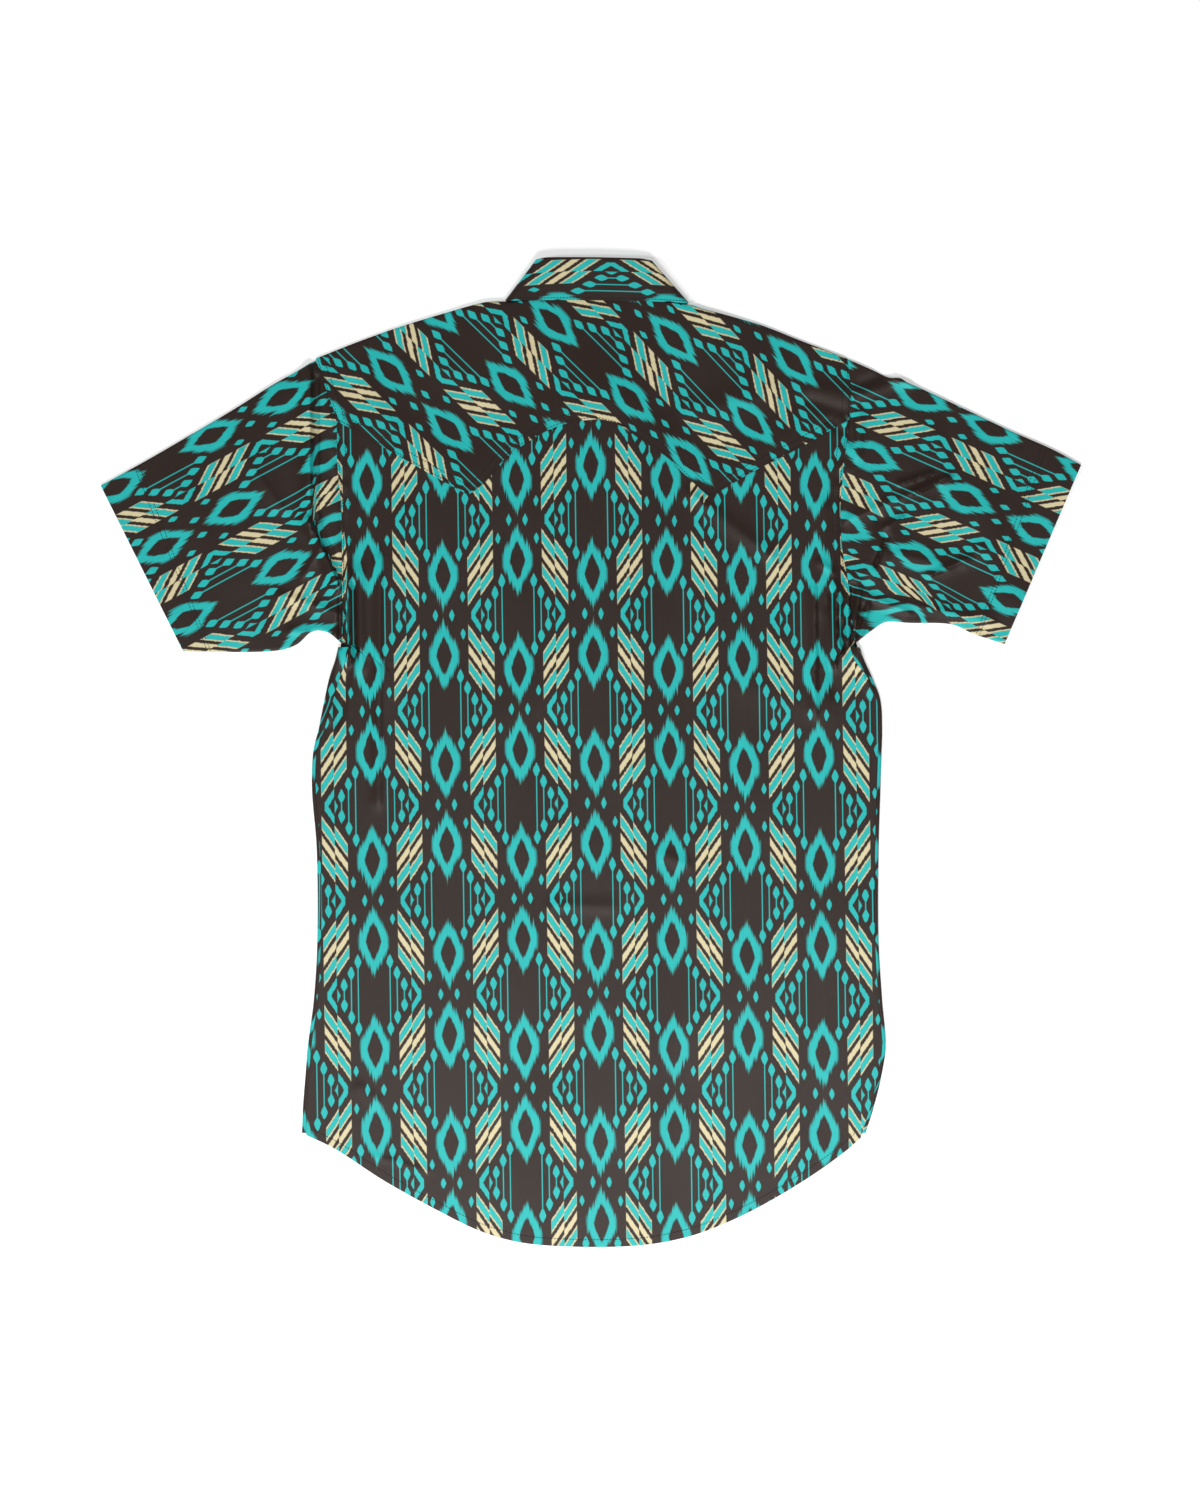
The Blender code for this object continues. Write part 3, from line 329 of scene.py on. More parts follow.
# Ripples of pressed cloth: each is a wave that a second one bends and a third one crosses
Wave = namedtuple("Wave", "x y length start")
Ripple = namedtuple("Ripple", "height along bend bent_by crossed_by")
RIPPLES = [
    Ripple(0.22, Wave(1, 0, 31.0, 0.0), 1.7, Wave(0, 1, 83.0, 0.0), Wave(0, 1, 47.0, 0.8)),
    Ripple(0.17, Wave(1, 1, 23.0, 0.0), 1.0, Wave(0, 1, 39.0, 2.0), Wave(1, -0.7, 37.0, 0.0)),
    Ripple(0.1, Wave(0, 1, 17.0, 0.0), 1.3, Wave(1, 0, 29.0, 0.0), Wave(1, 0, 61.0, 1.1)),
]

# Cloth that a fold of the left sleeve swallows: how wide the hidden strip is along the fold
Tuck = namedtuple("Tuck", "y x hidden")
TUCKS = rows_of(Tuck, [
    (327, -234, 0), (285, -234, 0.5), (247, -234, 6), (193.5, -234, 17),
    (168, -223.5, 20), (144.5, -212.5, 22), (110, -205, 22),
])
TUCK_EDGE = 4.0              # width over which the print jumps

# The same for the crevice in the back at the left underarm, which swallows cloth between two heights
BACK_TUCKS = rows_of(Tuck, [
    (190, -206.5, 0), (165, -206.5, 4), (145, -206.5, 8), (100, -206, 9),
    (78, -206, 4), (60, -208, 0),
])

# The print on the strip of the left front beyond its side seam leans along the seam between these heights
STRIP_LEAN, STRIP_Y, STRIP_TOP, STRIP_LENGTH = 0.55, 50.0, 88.0, 75.0

# Where bunched cloth at the right underarm pulls the sleeve's print along, and how far
Pull = namedtuple("Pull", "x y dx dy reach")
PULLS = [Pull(272.0, 112.0, 13.0, 12.0, 28.0), Pull(247.0, 152.0, 5.0, 1.5, 20.0),
         Pull(252.0, 106.0, 9.0, -3.0, 17.0)]

# Where the print lies on each panel: the plan position of a knot of the print, how far and which way the
# plan moves for each millimetre across the print (ux, uy) and along its threads (vx, vy), and how steeply
# the print's rows fall to the left and to the right of the middle
Lay = namedtuple("Lay", "x y ux uy vx vy fall_left fall_right")
PRINT_LAYS = {
    "back": Lay(3.5, -43.1, 1.0, -0.004, 0.0143, -1.0, 0.019, 0.029),
    "yoke": Lay(-43.9, 286.4, 0.699, 0.715, 0.715, -0.699, 0.0, 0.08),
    "sleeve_left": Lay(-332.1, 189.7, 0.475, -0.883, 0.882, 0.475, 0.0, 0.0),
    "sleeve_right": Lay(345.7, 200.7, -0.52, -0.866, 0.878, -0.393, 0.0, 0.0),
    "collar": Lay(-64.0, 376.9, 0.0, 0.918, 1.03, 0.0, 0.052, 0.015),
}
FALL_BEND = 22.0             # half length over which a row of the print starts to fall

# The print, charted on a quarter of its repeat: x across from the knot, y along the threads, in millimetres
Drop = namedtuple("Drop", "x y half_width above below stem")
DROPS = [
    Drop(6.9, 0.0, 2.2, 5.0, 5.0, 0.0),
    Drop(16.3, 15.7, 2.1, 4.7, 4.7, 0.0),
    Drop(13.5, 51.8, 2.9, 6.3, 6.0, 0.43),
    Drop(19.4, 61.6, 2.9, 6.1, 5.9, 0.43),
    Drop(25.4, 71.6, 2.9, 6.0, 5.8, 0.43),
]
Eye = namedtuple("Eye", "y half_width flank_width flank_fall hole_y hole_width hole_height")
EYE = Eye(34.4, 12.3, 15.3, 0.54, 34.3, 6.6, 16.0)
Bar = namedtuple("Bar", "start end cream")
BARS = [Bar(8.0, 20.0, False), Bar(24.9, 31.6, True), Bar(36.6, 48.2, False)]
BAR_LEFT = 20.8
BAR_SLOPE = 1.47
BAR_EDGE = 1.9
BAR_ACROSS = 0.56            # distance across a bar for each millimetre along the threads
CHEVRON_OUTER, CHEVRON_FLAT, CHEVRON_OUTER_SLOPE = 23.5, 3.2, 1.47
CHEVRON_INNER, CHEVRON_INNER_SLOPE = 26.5, 1.66
HALF_DROP_TIP, HALF_DROP_SIDE, HALF_DROP_HEIGHT = 28.5, 31.2, 5.3
REPEAT_WIDTH = 126.2
REPEAT_HEIGHT = 160.0
EYE_BEND = 1.5               # how far the eye's flanks round into its sides
HOLE_POWER_X, HOLE_POWER_Y = 1.3, 1.2
Tip = namedtuple("Tip", "half_width soft start start_soft end end_soft strength")
TIP = Tip(1.2, 1.4, 27.0, 2.0, 29.5, 1.5, 0.25)

# How far noise moves the edges of the figures, and how wide the soft edge of each figure is
EYE_FEATHER, HOLE_FEATHER, ROW_FEATHER, FLANK_FEATHER = 23.0, 9.0, 2.6, 2.0
EYE_SOFT, HOLE_SOFT, DROP_SOFT, BAR_SOFT = 2.4, 1.2, 0.6, 0.7

# Noise that follows the threads: how fast it changes across and along them, where it starts, and its detail
Drift = namedtuple("Drift", "across along start detail roughness")
THREADS = Drift(0.62, 0.012, 0.0, 3.0, 0.7)
TEETH = Drift(0.72, 0.03, 7.0, 1.0, 0.5)
WARP = Drift(1.1, 0.03, 3.0, 4.0, 0.7)
WEFT = Drift(0.06, 1.7, 5.0, 3.0, 0.6)
PATCHES = Drift(0.02, 0.02, 9.0, 2.0, 0.5)
WEFT_SHARE, PATCHES_SHARE = 0.6, 0.35
THREAD_PITCH = 0.62          # from one thread of the cloth to the next
WEAVE_RELIEF, SLUB_RELIEF, SLUB_ROUGHNESS = 0.05, 0.16, 0.1

# What each piece is cut to, in metres, and the area of its outline
Cut = namedtuple("Cut", "width length area held rests_on")

COLLAR_ROLL = 1.1            # how far the roll of the collar stands out past its fold
COLLAR_ROWS = 15
STAND_INSIDE = 0.75          # how far the front of the stand lies inside the neck
RING_SPREAD = 1.5            # above 1, a sleeve's rings of points are closer near the armhole
SIDE_COLUMNS = 0.1           # how much closer the back's columns of points are at its sides
SHARP_ANGLE = math.radians(50)

# Stitches: the thread, how far inside their edges the rows run, and between which places
THREAD_WIDTH = 0.66          # a topstitching thread as it lies, with the dent that it pulls
STITCH_SHARE = 0.84          # how much of a stitch's pitch its thread covers
STITCH_LIFT = 0.08           # from the face of the cloth to the middle of the thread
YOKE_ROWS = (1.6, 7.2)
YOKE_RUN = (0.004, 0.246)    # what a row covers of each quarter of the yoke's edge
ARMHOLE_ROWS = (1.5, 7.0)
ARMHOLE_RUN_YOKE, ARMHOLE_RUN_GAP, ARMHOLE_RUN_END_Y = 50.0, 2.0, 96.0
SLEEVE_LENGTH = 182.0
SLEEVE_ROWS = (26.5, 30.0)
SLEEVE_RUN = (0.012, 0.988)
HEM_ROW = 6.2
HEM_RUN, HEM_RUN_LEFT, HEM_RUN_RIGHT = (-238.0, 226.0), (-240.0, 20.0), (-10.0, 228.0)
PLACKET_ROW = 2.5
PLACKET_RUN = (285.0, -398.0)
LEAF_ROW = 0.05              # how far up the leaf its row runs, of the way to the fold
LEAF_RUN = 2.7               # in steps of the LEAF table

# The stage, in metres
FLOOR_HALF = 4.0
FLOOR_UNEVEN = 0.99          # how bright the floor's darkest spots are beside the rest of it
WHITE, NEAR_WHITE = (1.0, 1.0, 1.0, 1.0), (0.99, 0.99, 0.99, 1.0)
KEY_SIZE = (0.9, 0.6)
KEY_PLACE, KEY_AIM = (0.0, -1.25, 1.8), (0.0, -0.1, 0.0)
SIDE_PLACE, SIDE_ANGLE = (-1.0, -0.3, 0.85), math.radians(8)
SENSOR_WIDTH = 36.0
CLOTH_TOP = 0.004            # height over the floor at which the photo's scale holds


# Curves and weights

def through(rows, knot, value, at):
    """Values at places on the smooth curve through a table's rows, sorted by their knot."""
    rows = sorted(rows, key=lambda row: getattr(row, knot))
    places = np.array([getattr(row, knot) for row in rows], float)
    values = np.array([getattr(row, value) for row in rows], float)
    last = len(rows) - 1
    low = np.maximum(np.arange(last + 1) - 1, 0)
    high = np.minimum(np.arange(last + 1) + 1, last)
    slopes = (values[high] - values[low]) / (places[high] - places[low])
    at = np.asarray(at, float)
    i = np.clip(np.searchsorted(places, at) - 1, 0, last - 1)
    span = places[i + 1] - places[i]
    t = np.clip((at - places[i]) / span, 0.0, 1.0)
    bend = (t ** 3 - 2 * t ** 2 + t) * span * slopes[i] + (t ** 3 - t ** 2) * span * slopes[i + 1]
    return values[i] + (3 * t ** 2 - 2 * t ** 3) * (values[i + 1] - values[i]) + bend


def blend(start, end, share):
    return start + (end - start) * share


def evenly(count):
    """Shares from 0 to 1 of a number of rows or columns."""
    return np.linspace(0, 1, count + 1)


def ease(value):
    value = np.clip(value, 0.0, 1.0)
    return value * value * (3 - 2 * value)


def line_place(x, y, x1, y1, x2, y2):
    """Distance of points from a line with ends, and on which side of it they are."""
    along_x, along_y = x2 - x1, y2 - y1
    length = math.hypot(along_x, along_y)
    share = np.clip(((x - x1) * along_x + (y - y1) * along_y) / length ** 2, 0.0, 1.0)
    away = np.hypot(x - x1 - along_x * share, y - y1 - along_y * share)
    side = ((x - x1) * along_y - (y - y1) * along_x) / length
    return away, side


def pairs(x, y):
    return np.stack(np.broadcast_arrays(np.asarray(x, float), np.asarray(y, float)), -1)


# Outlines and seams, seen from above

def outline(y, side):
    return through(BODY, "y", side, np.minimum(y, BODY[0].y))


def side_seam(y, side):
    inward = 1 if side == "left" else -1
    return outline(y, side) + inward * through(BODY, "y", side + "_wrap", np.minimum(y, BODY[0].y))


def armhole(y, which):
    return through(ARMHOLES, "y", which, y)


def shoulder_fold(x):
    left = through(SHOULDER_FOLD_LEFT, "x", "y", x)
    return np.where(np.asarray(x) < CENTRE, left, through(SHOULDER_FOLD_RIGHT, "x", "y", x))


def yoke_edge(shares):
    """Points of the yoke's lower edge. Its points and its peak are at quarters of the way."""
    shares = np.asarray(shares, float)
    runs = len(YOKE_EDGE)
    run = np.minimum((shares * runs + ROUNDING).astype(int), runs - 1)
    found = np.zeros(shares.shape + (2,))
    for i, rows in enumerate(YOKE_EDGE):
        x = blend(rows[0].x, rows[-1].x, shares * runs - i)
        here = run == i
        found[here] = pairs(x, through(rows, "x", "y", x))[here]
    return found


def sleeve_edges(which, share):
    """Points of a sleeve's upper fold and of its underarm, at shares of the way from armhole to cuff."""
    return [pairs(through(rows, "share", "x", share), through(rows, "share", "y", share))
            for rows in SLEEVE_EDGES[which]]


def yoke_edge_y(x):
    x = np.asarray(x, float)
    y = through(YOKE_EDGE[0], "x", "y", x)
    for rows in YOKE_EDGE[1:]:
        y = np.where(x > rows[0].x, through(rows, "x", "y", x), y)
    return y


def back_neck(share):
    x = -NECK_HALF + 2 * NECK_HALF * share
    rise = (NECK_BACK_Y - NECK_SIDE_Y) * np.abs(np.sin(math.pi * share)) ** NECK_CORNER
    return pairs(CENTRE + x, NECK_SIDE_Y + rise - LEAN * x)


def front_neck(turn):
    x = -FRONT_NECK_HALF * np.cos(np.radians(turn))
    y = FRONT_NECK_Y - FRONT_NECK_DEPTH * np.sin(np.radians(turn)) - LEAN * x
    return pairs(CENTRE + x, y)


def shoulder_seam_y(x, which):
    arm_x, arm_y = SHOULDER_LEFT if which == "left" else SHOULDER_RIGHT
    neck_x, neck_y = front_neck(0 if which == "left" else 180)
    return blend(arm_y - SHOULDER_LAND, neck_y, (x - arm_x) / (neck_x - arm_x))


def front_hem(x):
    from_centre = (x - CENTRE) / (CENTRE - HEM[0].x)
    return through(HEM, "x", "y", x) + FRONT_HEM_RISE * np.maximum(0.0, 1 - from_centre ** 2)


# Heights of the layers, at the middle of their walls

def front_base_z(x, y):
    away = line_place(np.abs(x - CENTRE), y, *LEAF_LINE)[0]
    return FRONT_Z + LEAF_LIFT * (1 - ease((away - LEAF_REACH) / LEAF_FADE))


def front_left_z(x, y):
    share = 1 - ease((CENTRE - x - PLACKET_HALF - LEFT_RAMP_IN) / LEFT_RAMP)
    return blend(front_base_z(x, y), FRONT_LEFT_CENTRE_Z, share)


def front_right_z(x, y):
    share = 1 - ease((x - CENTRE - PLACKET_HALF - RIGHT_RAMP_IN) / RIGHT_RAMP)
    return blend(front_base_z(x, y), FRONT_RIGHT_CENTRE_Z, share)


def placket_z(x, y):
    return PLACKET_Z + 0 * (x + y)


def creases_z(x, y):
    total = 0.0
    for crease in CREASES:
        away, side = line_place(x, y, crease.x1, crease.y1, crease.x2, crease.y2)
        edge = crease.width * CREASE_EDGE * (SHARPEST - abs(crease.sharp))
        steep = np.tanh(side / edge)
        total = total + crease.height * np.exp(-(away / crease.width) ** 2) * (1 + crease.sharp * steep)
    return total


def armhole_z(x, y):
    """The dip of the cloth at the armhole seams, and the small puckers that run into them."""
    total = 0.0
    for which in ("back_left", "back_right"):
        away = x - armhole(y, which)
        held = ease((y - ARMHOLE_END_Y + SEAM_FADE) / SEAM_FADE)
        drift = PUCKER_DRIFT * np.sin(y / PUCKER_DRIFT_LENGTH)
        strength = PUCKER_EVEN + PUCKER_UNEVEN * np.sin(y / PUCKER_UNEVEN_LENGTH)
        pucker = np.sin(y / PUCKER_LENGTH + drift) * strength
        total = total - held * SEAM_TROUGH * np.exp(-(away / SEAM_TROUGH_WIDTH) ** 2)
        total = total + held * PUCKER * pucker * np.exp(-(away / PUCKER_WIDTH) ** 2)
    return total


def wave_at(wave, x, y, bend=0.0):
    return np.sin((wave.x * x + wave.y * y) / wave.length + wave.start + bend)


def ripple_z(x, y):
    """Low unevenness of pressed cloth."""
    total = 0.0
    for ripple in RIPPLES:
        bend = ripple.bend * wave_at(ripple.bent_by, x, y)
        crossed = wave_at(ripple.along, x, y, bend) * wave_at(ripple.crossed_by, x, y)
        total = total + ripple.height * crossed
    return total


def top_z(x, y):
    middle = 1 - ease((np.abs(x - CENTRE) - CENTRE_FLAT) / CENTRE_RAMP)
    centre = CENTRE_RISE * middle * (1 - ease((y - CENTRE_TOP_Y) / CENTRE_FADE))
    from_neck = np.hypot((x - CENTRE) / NECK_RISE_X, (y - NECK_BACK_Y) / NECK_RISE_Y)
    neck = NECK_RISE * (1 - ease((from_neck - NECK_RISE_START) / NECK_RISE_FADE))
    hem = HEM_DROP * (1 - middle) * ease((HEM_CORNER_Y + HEM_DROP_LENGTH - y) / HEM_DROP_LENGTH)
    folds = creases_z(x, y) + armhole_z(x, y) + ripple_z(x, y)
    return BACK_Z + centre + neck - hem + np.where(folds < 0, DEEPEST * np.tanh(folds / DEEPEST), folds)


def yoke_z(x, y):
    past_lap = y - yoke_edge_y(x) - YOKE_LAP
    return top_z(x, y) + LAYER * (1 - ease(past_lap / YOKE_SETTLE))


# Sheets and walls

def print_place(panel, plan):
    """Where plan positions lie on the print, in millimetres across it and along its threads."""
    lay = PRINT_LAYS[panel]
    turn = np.linalg.inv(np.array([[lay.ux, lay.vx], [lay.uy, lay.vy]]))
    from_middle = plan[..., 0] - CENTRE
    fall = np.where(from_middle < 0, lay.fall_left, lay.fall_right)
    fallen = fall * (np.hypot(from_middle, FALL_BEND) - FALL_BEND)
    return (plan - np.array([lay.x, lay.y]) + pairs(0.0, fallen)) @ turn.T


def tucked(tucks, x, y):
    """How much cloth a fold hides at each height, and 0 to 1 for places before to past that fold."""
    past = ease((x - through(tucks, "y", "x", y)) / TUCK_EDGE + 0.5)
    return through(tucks, "y", "hidden", y), past


class Sheet:
    """The middle of a cloth wall: its points, and its four-sided faces with their places on the print."""

    def __init__(self):
        self.points = np.zeros((0, 3))
        self.faces = []
        self.prints = []

    def add(self, points):
        start = len(self.points)
        self.points = np.vstack([self.points, points.reshape(-1, 3)])
        return np.arange(start, len(self.points)).reshape(points.shape[:2])

    def join(self, index, prints):
        corners = (np.s_[:-1, :-1], np.s_[:-1, 1:], np.s_[1:, 1:], np.s_[1:, :-1])
        self.faces.append(np.stack([index[corner] for corner in corners], -1).reshape(-1, 4))
        self.prints.append(np.stack([prints[corner] for corner in corners], -2).reshape(-1, 4, 2))

    def normals(self, faces):
        a, b, c, d = (self.points[faces[:, i]] for i in range(4))
        across = np.cross(c - a, d - b)
        normals = np.zeros_like(self.points)
        for i in range(4):
            np.add.at(normals, faces[:, i], across)
        return normals / np.maximum(np.linalg.norm(normals, axis=1, keepdims=True), 1e-12)


def face_outward(mesh):
    """Turn the faces of a closed mesh outward, and shade it smooth."""
    build = bmesh.new()
    build.from_mesh(mesh)
    bmesh.ops.recalc_face_normals(build, faces=build.faces)
    build.to_mesh(mesh)
    build.free()
    mesh.shade_smooth()


def cloth(name, sheet, look, wall):
    """A closed wall, half its thickness to each side of the sheet, that stands for the solid of its name."""
    faces = np.vstack(sheet.faces)
    prints = np.vstack(sheet.prints)
    count = len(sheet.points)
    offset = sheet.normals(faces) * wall / 2
    vertices = np.vstack([sheet.points + offset, sheet.points - offset]) * METRE
    quads = [faces, faces[:, ::-1] + count]
    places = [prints, prints[:, ::-1]]
    edges = {}
    for face, place in zip(faces.tolist(), prints):
        for i in range(4):
            edges[(face[i], face[(i + 1) % 4])] = (place[i], place[(i + 1) % 4])
    rim = [edge for edge in edges if (edge[1], edge[0]) not in edges]
    quads.append(np.array([(b, a, a + count, b + count) for a, b in rim]))
    places.append(np.array([(edges[edge][1], edges[edge][0]) * 2 for edge in rim])[:, [0, 1, 3, 2]])
    mesh = bpy.data.meshes.new(name)
    mesh.from_pydata(vertices.tolist(), [], np.vstack(quads).tolist())
    layer = mesh.uv_layers.new(name="print")
    layer.data.foreach_set("uv", (np.vstack(places) * METRE).ravel())
    mesh.materials.append(look)
    face_outward(mesh)
    mesh.set_sharp_from_angle(angle=SHARP_ANGLE)
    piece = add_piece(name + "_cloth", mesh)
    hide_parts(name)


def add_piece(name, mesh):
    piece = bpy.data.objects.new(name, mesh)
    bpy.context.scene.collection.objects.link(piece)
    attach(piece, "root")
    return piece


def coons(left, right, top, bottom, across, down):
    """Points of the patch between four edges, at shares across and down of its columns and rows."""
    top, bottom = top.copy(), bottom.copy()
    top[0], top[-1], bottom[0], bottom[-1] = left[0], right[0], left[-1], right[-1]
    s, t = across[None, :, None], down[:, None, None]
    sides = blend(left[:, None], right[:, None], s) + blend(top[None], bottom[None], t)
    return sides - blend(blend(left[0], right[0], s), blend(left[-1], right[-1], s), t)


def with_height(plan, height):
    return np.concatenate([plan, height(plan[..., 0], plan[..., 1])[..., None]], -1)


def fold_arc(upper_z, lower_z, steps):
    """Steps round folds, from above to below, a row each: how far out of the centre, and how high."""
    turns = (np.pi * np.arange(1, steps + 1) / steps)[:, None]
    middle, reach = (upper_z + lower_z) / 2, (upper_z - lower_z) / 2
    return FOLD_REACH * np.sin(turns) + 0 * middle, middle + reach * np.cos(turns)


def walked(points):
    """Distance walked from the first row of points to each row."""
    steps = np.linalg.norm(np.diff(points, axis=0), axis=-1)
    return np.vstack([np.zeros_like(steps[:1]), np.cumsum(steps, axis=0)])


# Body

def arm_top_y(which):
    shoulder = SHOULDER_LEFT if which == "left" else SHOULDER_RIGHT
    inward = SEAM if which == "left" else -SEAM
    return float(shoulder_fold(shoulder[0] + inward)) - FOLD


def back_sheet():
    arm_rows, side_rows, columns = 80, 150, 190

    def side(which, inward):
        yoke_end = YOKE_EDGE[0][0].y if which == "left" else YOKE_EDGE[-1][-1].y
        arm_y = np.linspace(yoke_end + YOKE_LAP, ARMHOLE_END_Y, arm_rows)
        side_y = np.linspace(SIDE_TOP_Y, HEM_CORNER_Y, side_rows)
        arm = pairs(armhole(arm_y, "back_" + which) + inward * SEAM, arm_y)
        return np.vstack([arm, pairs(side_seam(side_y, which) + inward * SEAM, side_y)])

    left, right = side("left", 1), side("right", -1)
    across = evenly(columns)
    across = across - SIDE_COLUMNS * np.sin(2 * math.pi * across)
    down = (left[0, 1] - left[:, 1]) / (left[0, 1] - left[-1, 1])
    top = yoke_edge(across) + np.array([0, YOKE_LAP])
    bottom_x = blend(left[-1, 0], right[-1, 0], across)
    bottom = pairs(bottom_x, through(HEM, "x", "y", bottom_x))
    plan = coons(left, right, top, bottom, across, down)
    hidden, past = tucked(BACK_TUCKS, plan[..., 0], plan[..., 1])
    shown = plan - pairs(hidden * (1 - past), 0.0)
    sheet = Sheet()
    sheet.join(sheet.add(with_height(plan, top_z)), print_place("back", shown))
    return sheet


def roll_shoulder(sheet, which, start, index):
    """Roll the yoke from its top edge over a shoulder and down to its seam on the front."""
    arc_steps, land_rows = 8, 6
    if which == "left":
        shoulder, inward, share = SHOULDER_LEFT, 1, np.linspace(0, 1, len(start))
    else:
        shoulder, inward, share = SHOULDER_RIGHT, -1, np.linspace(1, 0, len(start))
    arm_x = armhole(shoulder[1] - SHOULDER_LAND, "front_" + which) + inward * SEAM
    seam_x = blend(arm_x, CENTRE - inward * FRONT_NECK_HALF, share)
    seam = pairs(seam_x, shoulder_seam_y(seam_x, which))
    x, y, upper = start.T
    out, z = fold_arc(upper, front_base_z(x, y), arc_steps)
    arc = np.stack([x + 0 * out, y + out, z], -1)
    land = blend(start[None, :, :2], seam[None], evenly(land_rows)[1:, None, None])
    rolled = np.vstack([start[None], arc, with_height(land, front_base_z)])
    unrolled = pairs(rolled[:1, :, 0], rolled[:1, :, 1] + walked(rolled))
    rows = np.vstack([index[None], sheet.add(rolled[1:])])
    sheet.join(rows[::-1], print_place("yoke", unrolled[::-1]))


def yoke_sheet():
    """The yoke, with its pointed edge, the neck, and a roll over each shoulder to the front."""
    columns, rows = 168, 54
    third = columns // 3
    across = evenly(columns)
    down = evenly(rows)
    left_x = np.linspace(SHOULDER_LEFT[0] + SEAM, CENTRE - NECK_HALF, third + 1)
    right_x = np.linspace(CENTRE + NECK_HALF, SHOULDER_RIGHT[0] - SEAM, third + 1)
    neck = back_neck(evenly(third))
    top = np.vstack([pairs(left_x, shoulder_fold(left_x) - FOLD), neck[1:-1],
                     pairs(right_x, shoulder_fold(right_x) - FOLD)])
    bottom = yoke_edge(across)

    def side(which, inward, end):
        y = np.linspace(top[end, 1], bottom[end, 1], rows + 1)
        return pairs(armhole(y, "back_" + which) + inward * SEAM, y)

    plan = coons(side("left", 1, 0), side("right", -1, -1), top, bottom, across, down)
    sheet = Sheet()
    points = with_height(plan, yoke_z)
    index = sheet.add(points)
    sheet.join(index, print_place("yoke", plan))

    for which, here in (("left", np.s_[:third + 1]), ("right", np.s_[-third - 1:])):
        roll_shoulder(sheet, which, points[0, here], index[0, here])
    return sheet


def fold_side_over(sheet, which, start, index):
    """Fold a front up and over from its side to the side seam, which lies on the back."""
    arc_steps, over_steps = 8, 4
    outward = -1 if which == "left" else 1
    x, y, lower = start.T
    seam_x = side_seam(y, which) + outward * SEAM
    over_x = blend(x[None], seam_x[None], evenly(over_steps)[:, None])
    over = with_height(pairs(over_x, y), top_z)
    out, z = fold_arc(over[0, :, 2], lower, arc_steps)
    arc = np.stack([x + outward * out, y + 0 * out, z], -1)[-2::-1]
    rolled = np.vstack([start[None], arc, over])
    unrolled = pairs(x + outward * walked(rolled), y)
    if which == "left":
        lean = STRIP_LEAN * (1 - ease((STRIP_TOP - y) / STRIP_LENGTH)) * ease(walked(rolled) / FOLD / 2)
        unrolled = unrolled - pairs(lean * (y - STRIP_Y), 0.0)
    columns = np.vstack([index[None], sheet.add(rolled[1:])])
    sheet.join(columns[::-1].T, print_place("back", unrolled[::-1].transpose(1, 0, 2)))


def front_sheet(which):
    """A front on the surface, from the centre to the side, where it folds up and over to the side seam."""
    left = which == "left"
    outward = -1 if left else 1
    height = front_left_z if left else front_right_z
    shoulder = SHOULDER_LEFT if left else SHOULDER_RIGHT
    seam_arm_x = armhole(shoulder[1] - SHOULDER_LAND, "front_" + which)
    edge_x = CENTRE - outward * PLACKET_HALF
    neck_rows, arm_rows, side_rows, columns = 40, 24, 100, 54
    last_turn = 90 + math.degrees(math.asin(PLACKET_HALF / FRONT_NECK_HALF))

    arm_y = np.linspace(shoulder_seam_y(seam_arm_x, which) - 2 * SEAM, ARMHOLE_END_Y, neck_rows + arm_rows)
    side_y = np.linspace(SIDE_TOP_Y, HEM_CORNER_Y, side_rows)
    outer = np.vstack([pairs(armhole(arm_y, "front_" + which) - outward * SEAM, arm_y),
                       pairs(outline(side_y, which) - outward * FOLD, side_y)])
    turns = np.linspace(0, last_turn, neck_rows)
    neck = front_neck(turns if left else 180 - turns) - np.array([0, 2 * SEAM])
    edge_y = np.linspace(neck[-1, 1], front_hem(edge_x), arm_rows + side_rows + 1)[1:]
    inner = np.vstack([neck, pairs(edge_x, edge_y)])
    across = evenly(columns)
    top_x = blend(outer[0, 0], inner[0, 0], across)
    top = pairs(top_x, shoulder_seam_y(top_x, which) - 2 * SEAM)
    bottom_x = blend(outer[-1, 0], edge_x, across)
    bottom = pairs(bottom_x, front_hem(bottom_x))
    plan = coons(outer, inner, top, bottom, across, np.linspace(0, 1, len(outer)))
    sheet = Sheet()
    points = with_height(plan, height)
    index = sheet.add(points)
    sheet.join(index, print_place("back", plan))
    fold_side_over(sheet, which, points[neck_rows + arm_rows:, 0], index[neck_rows + arm_rows:, 0])
    return sheet


def placket_sheet():
    rows, columns = 120, 8
    share = evenly(rows)[:, None]
    x = np.linspace(-PLACKET_HALF, PLACKET_HALF, columns + 1)[None]
    neck_y = front_neck(90 + np.degrees(np.arcsin(x / FRONT_NECK_HALF)))[..., 1] - 2 * SEAM
    plan = pairs(CENTRE + x, blend(neck_y, front_hem(CENTRE + x), share))
    sheet = Sheet()
    sheet.join(sheet.add(with_height(plan, placket_z)), print_place("back", plan))
    return sheet


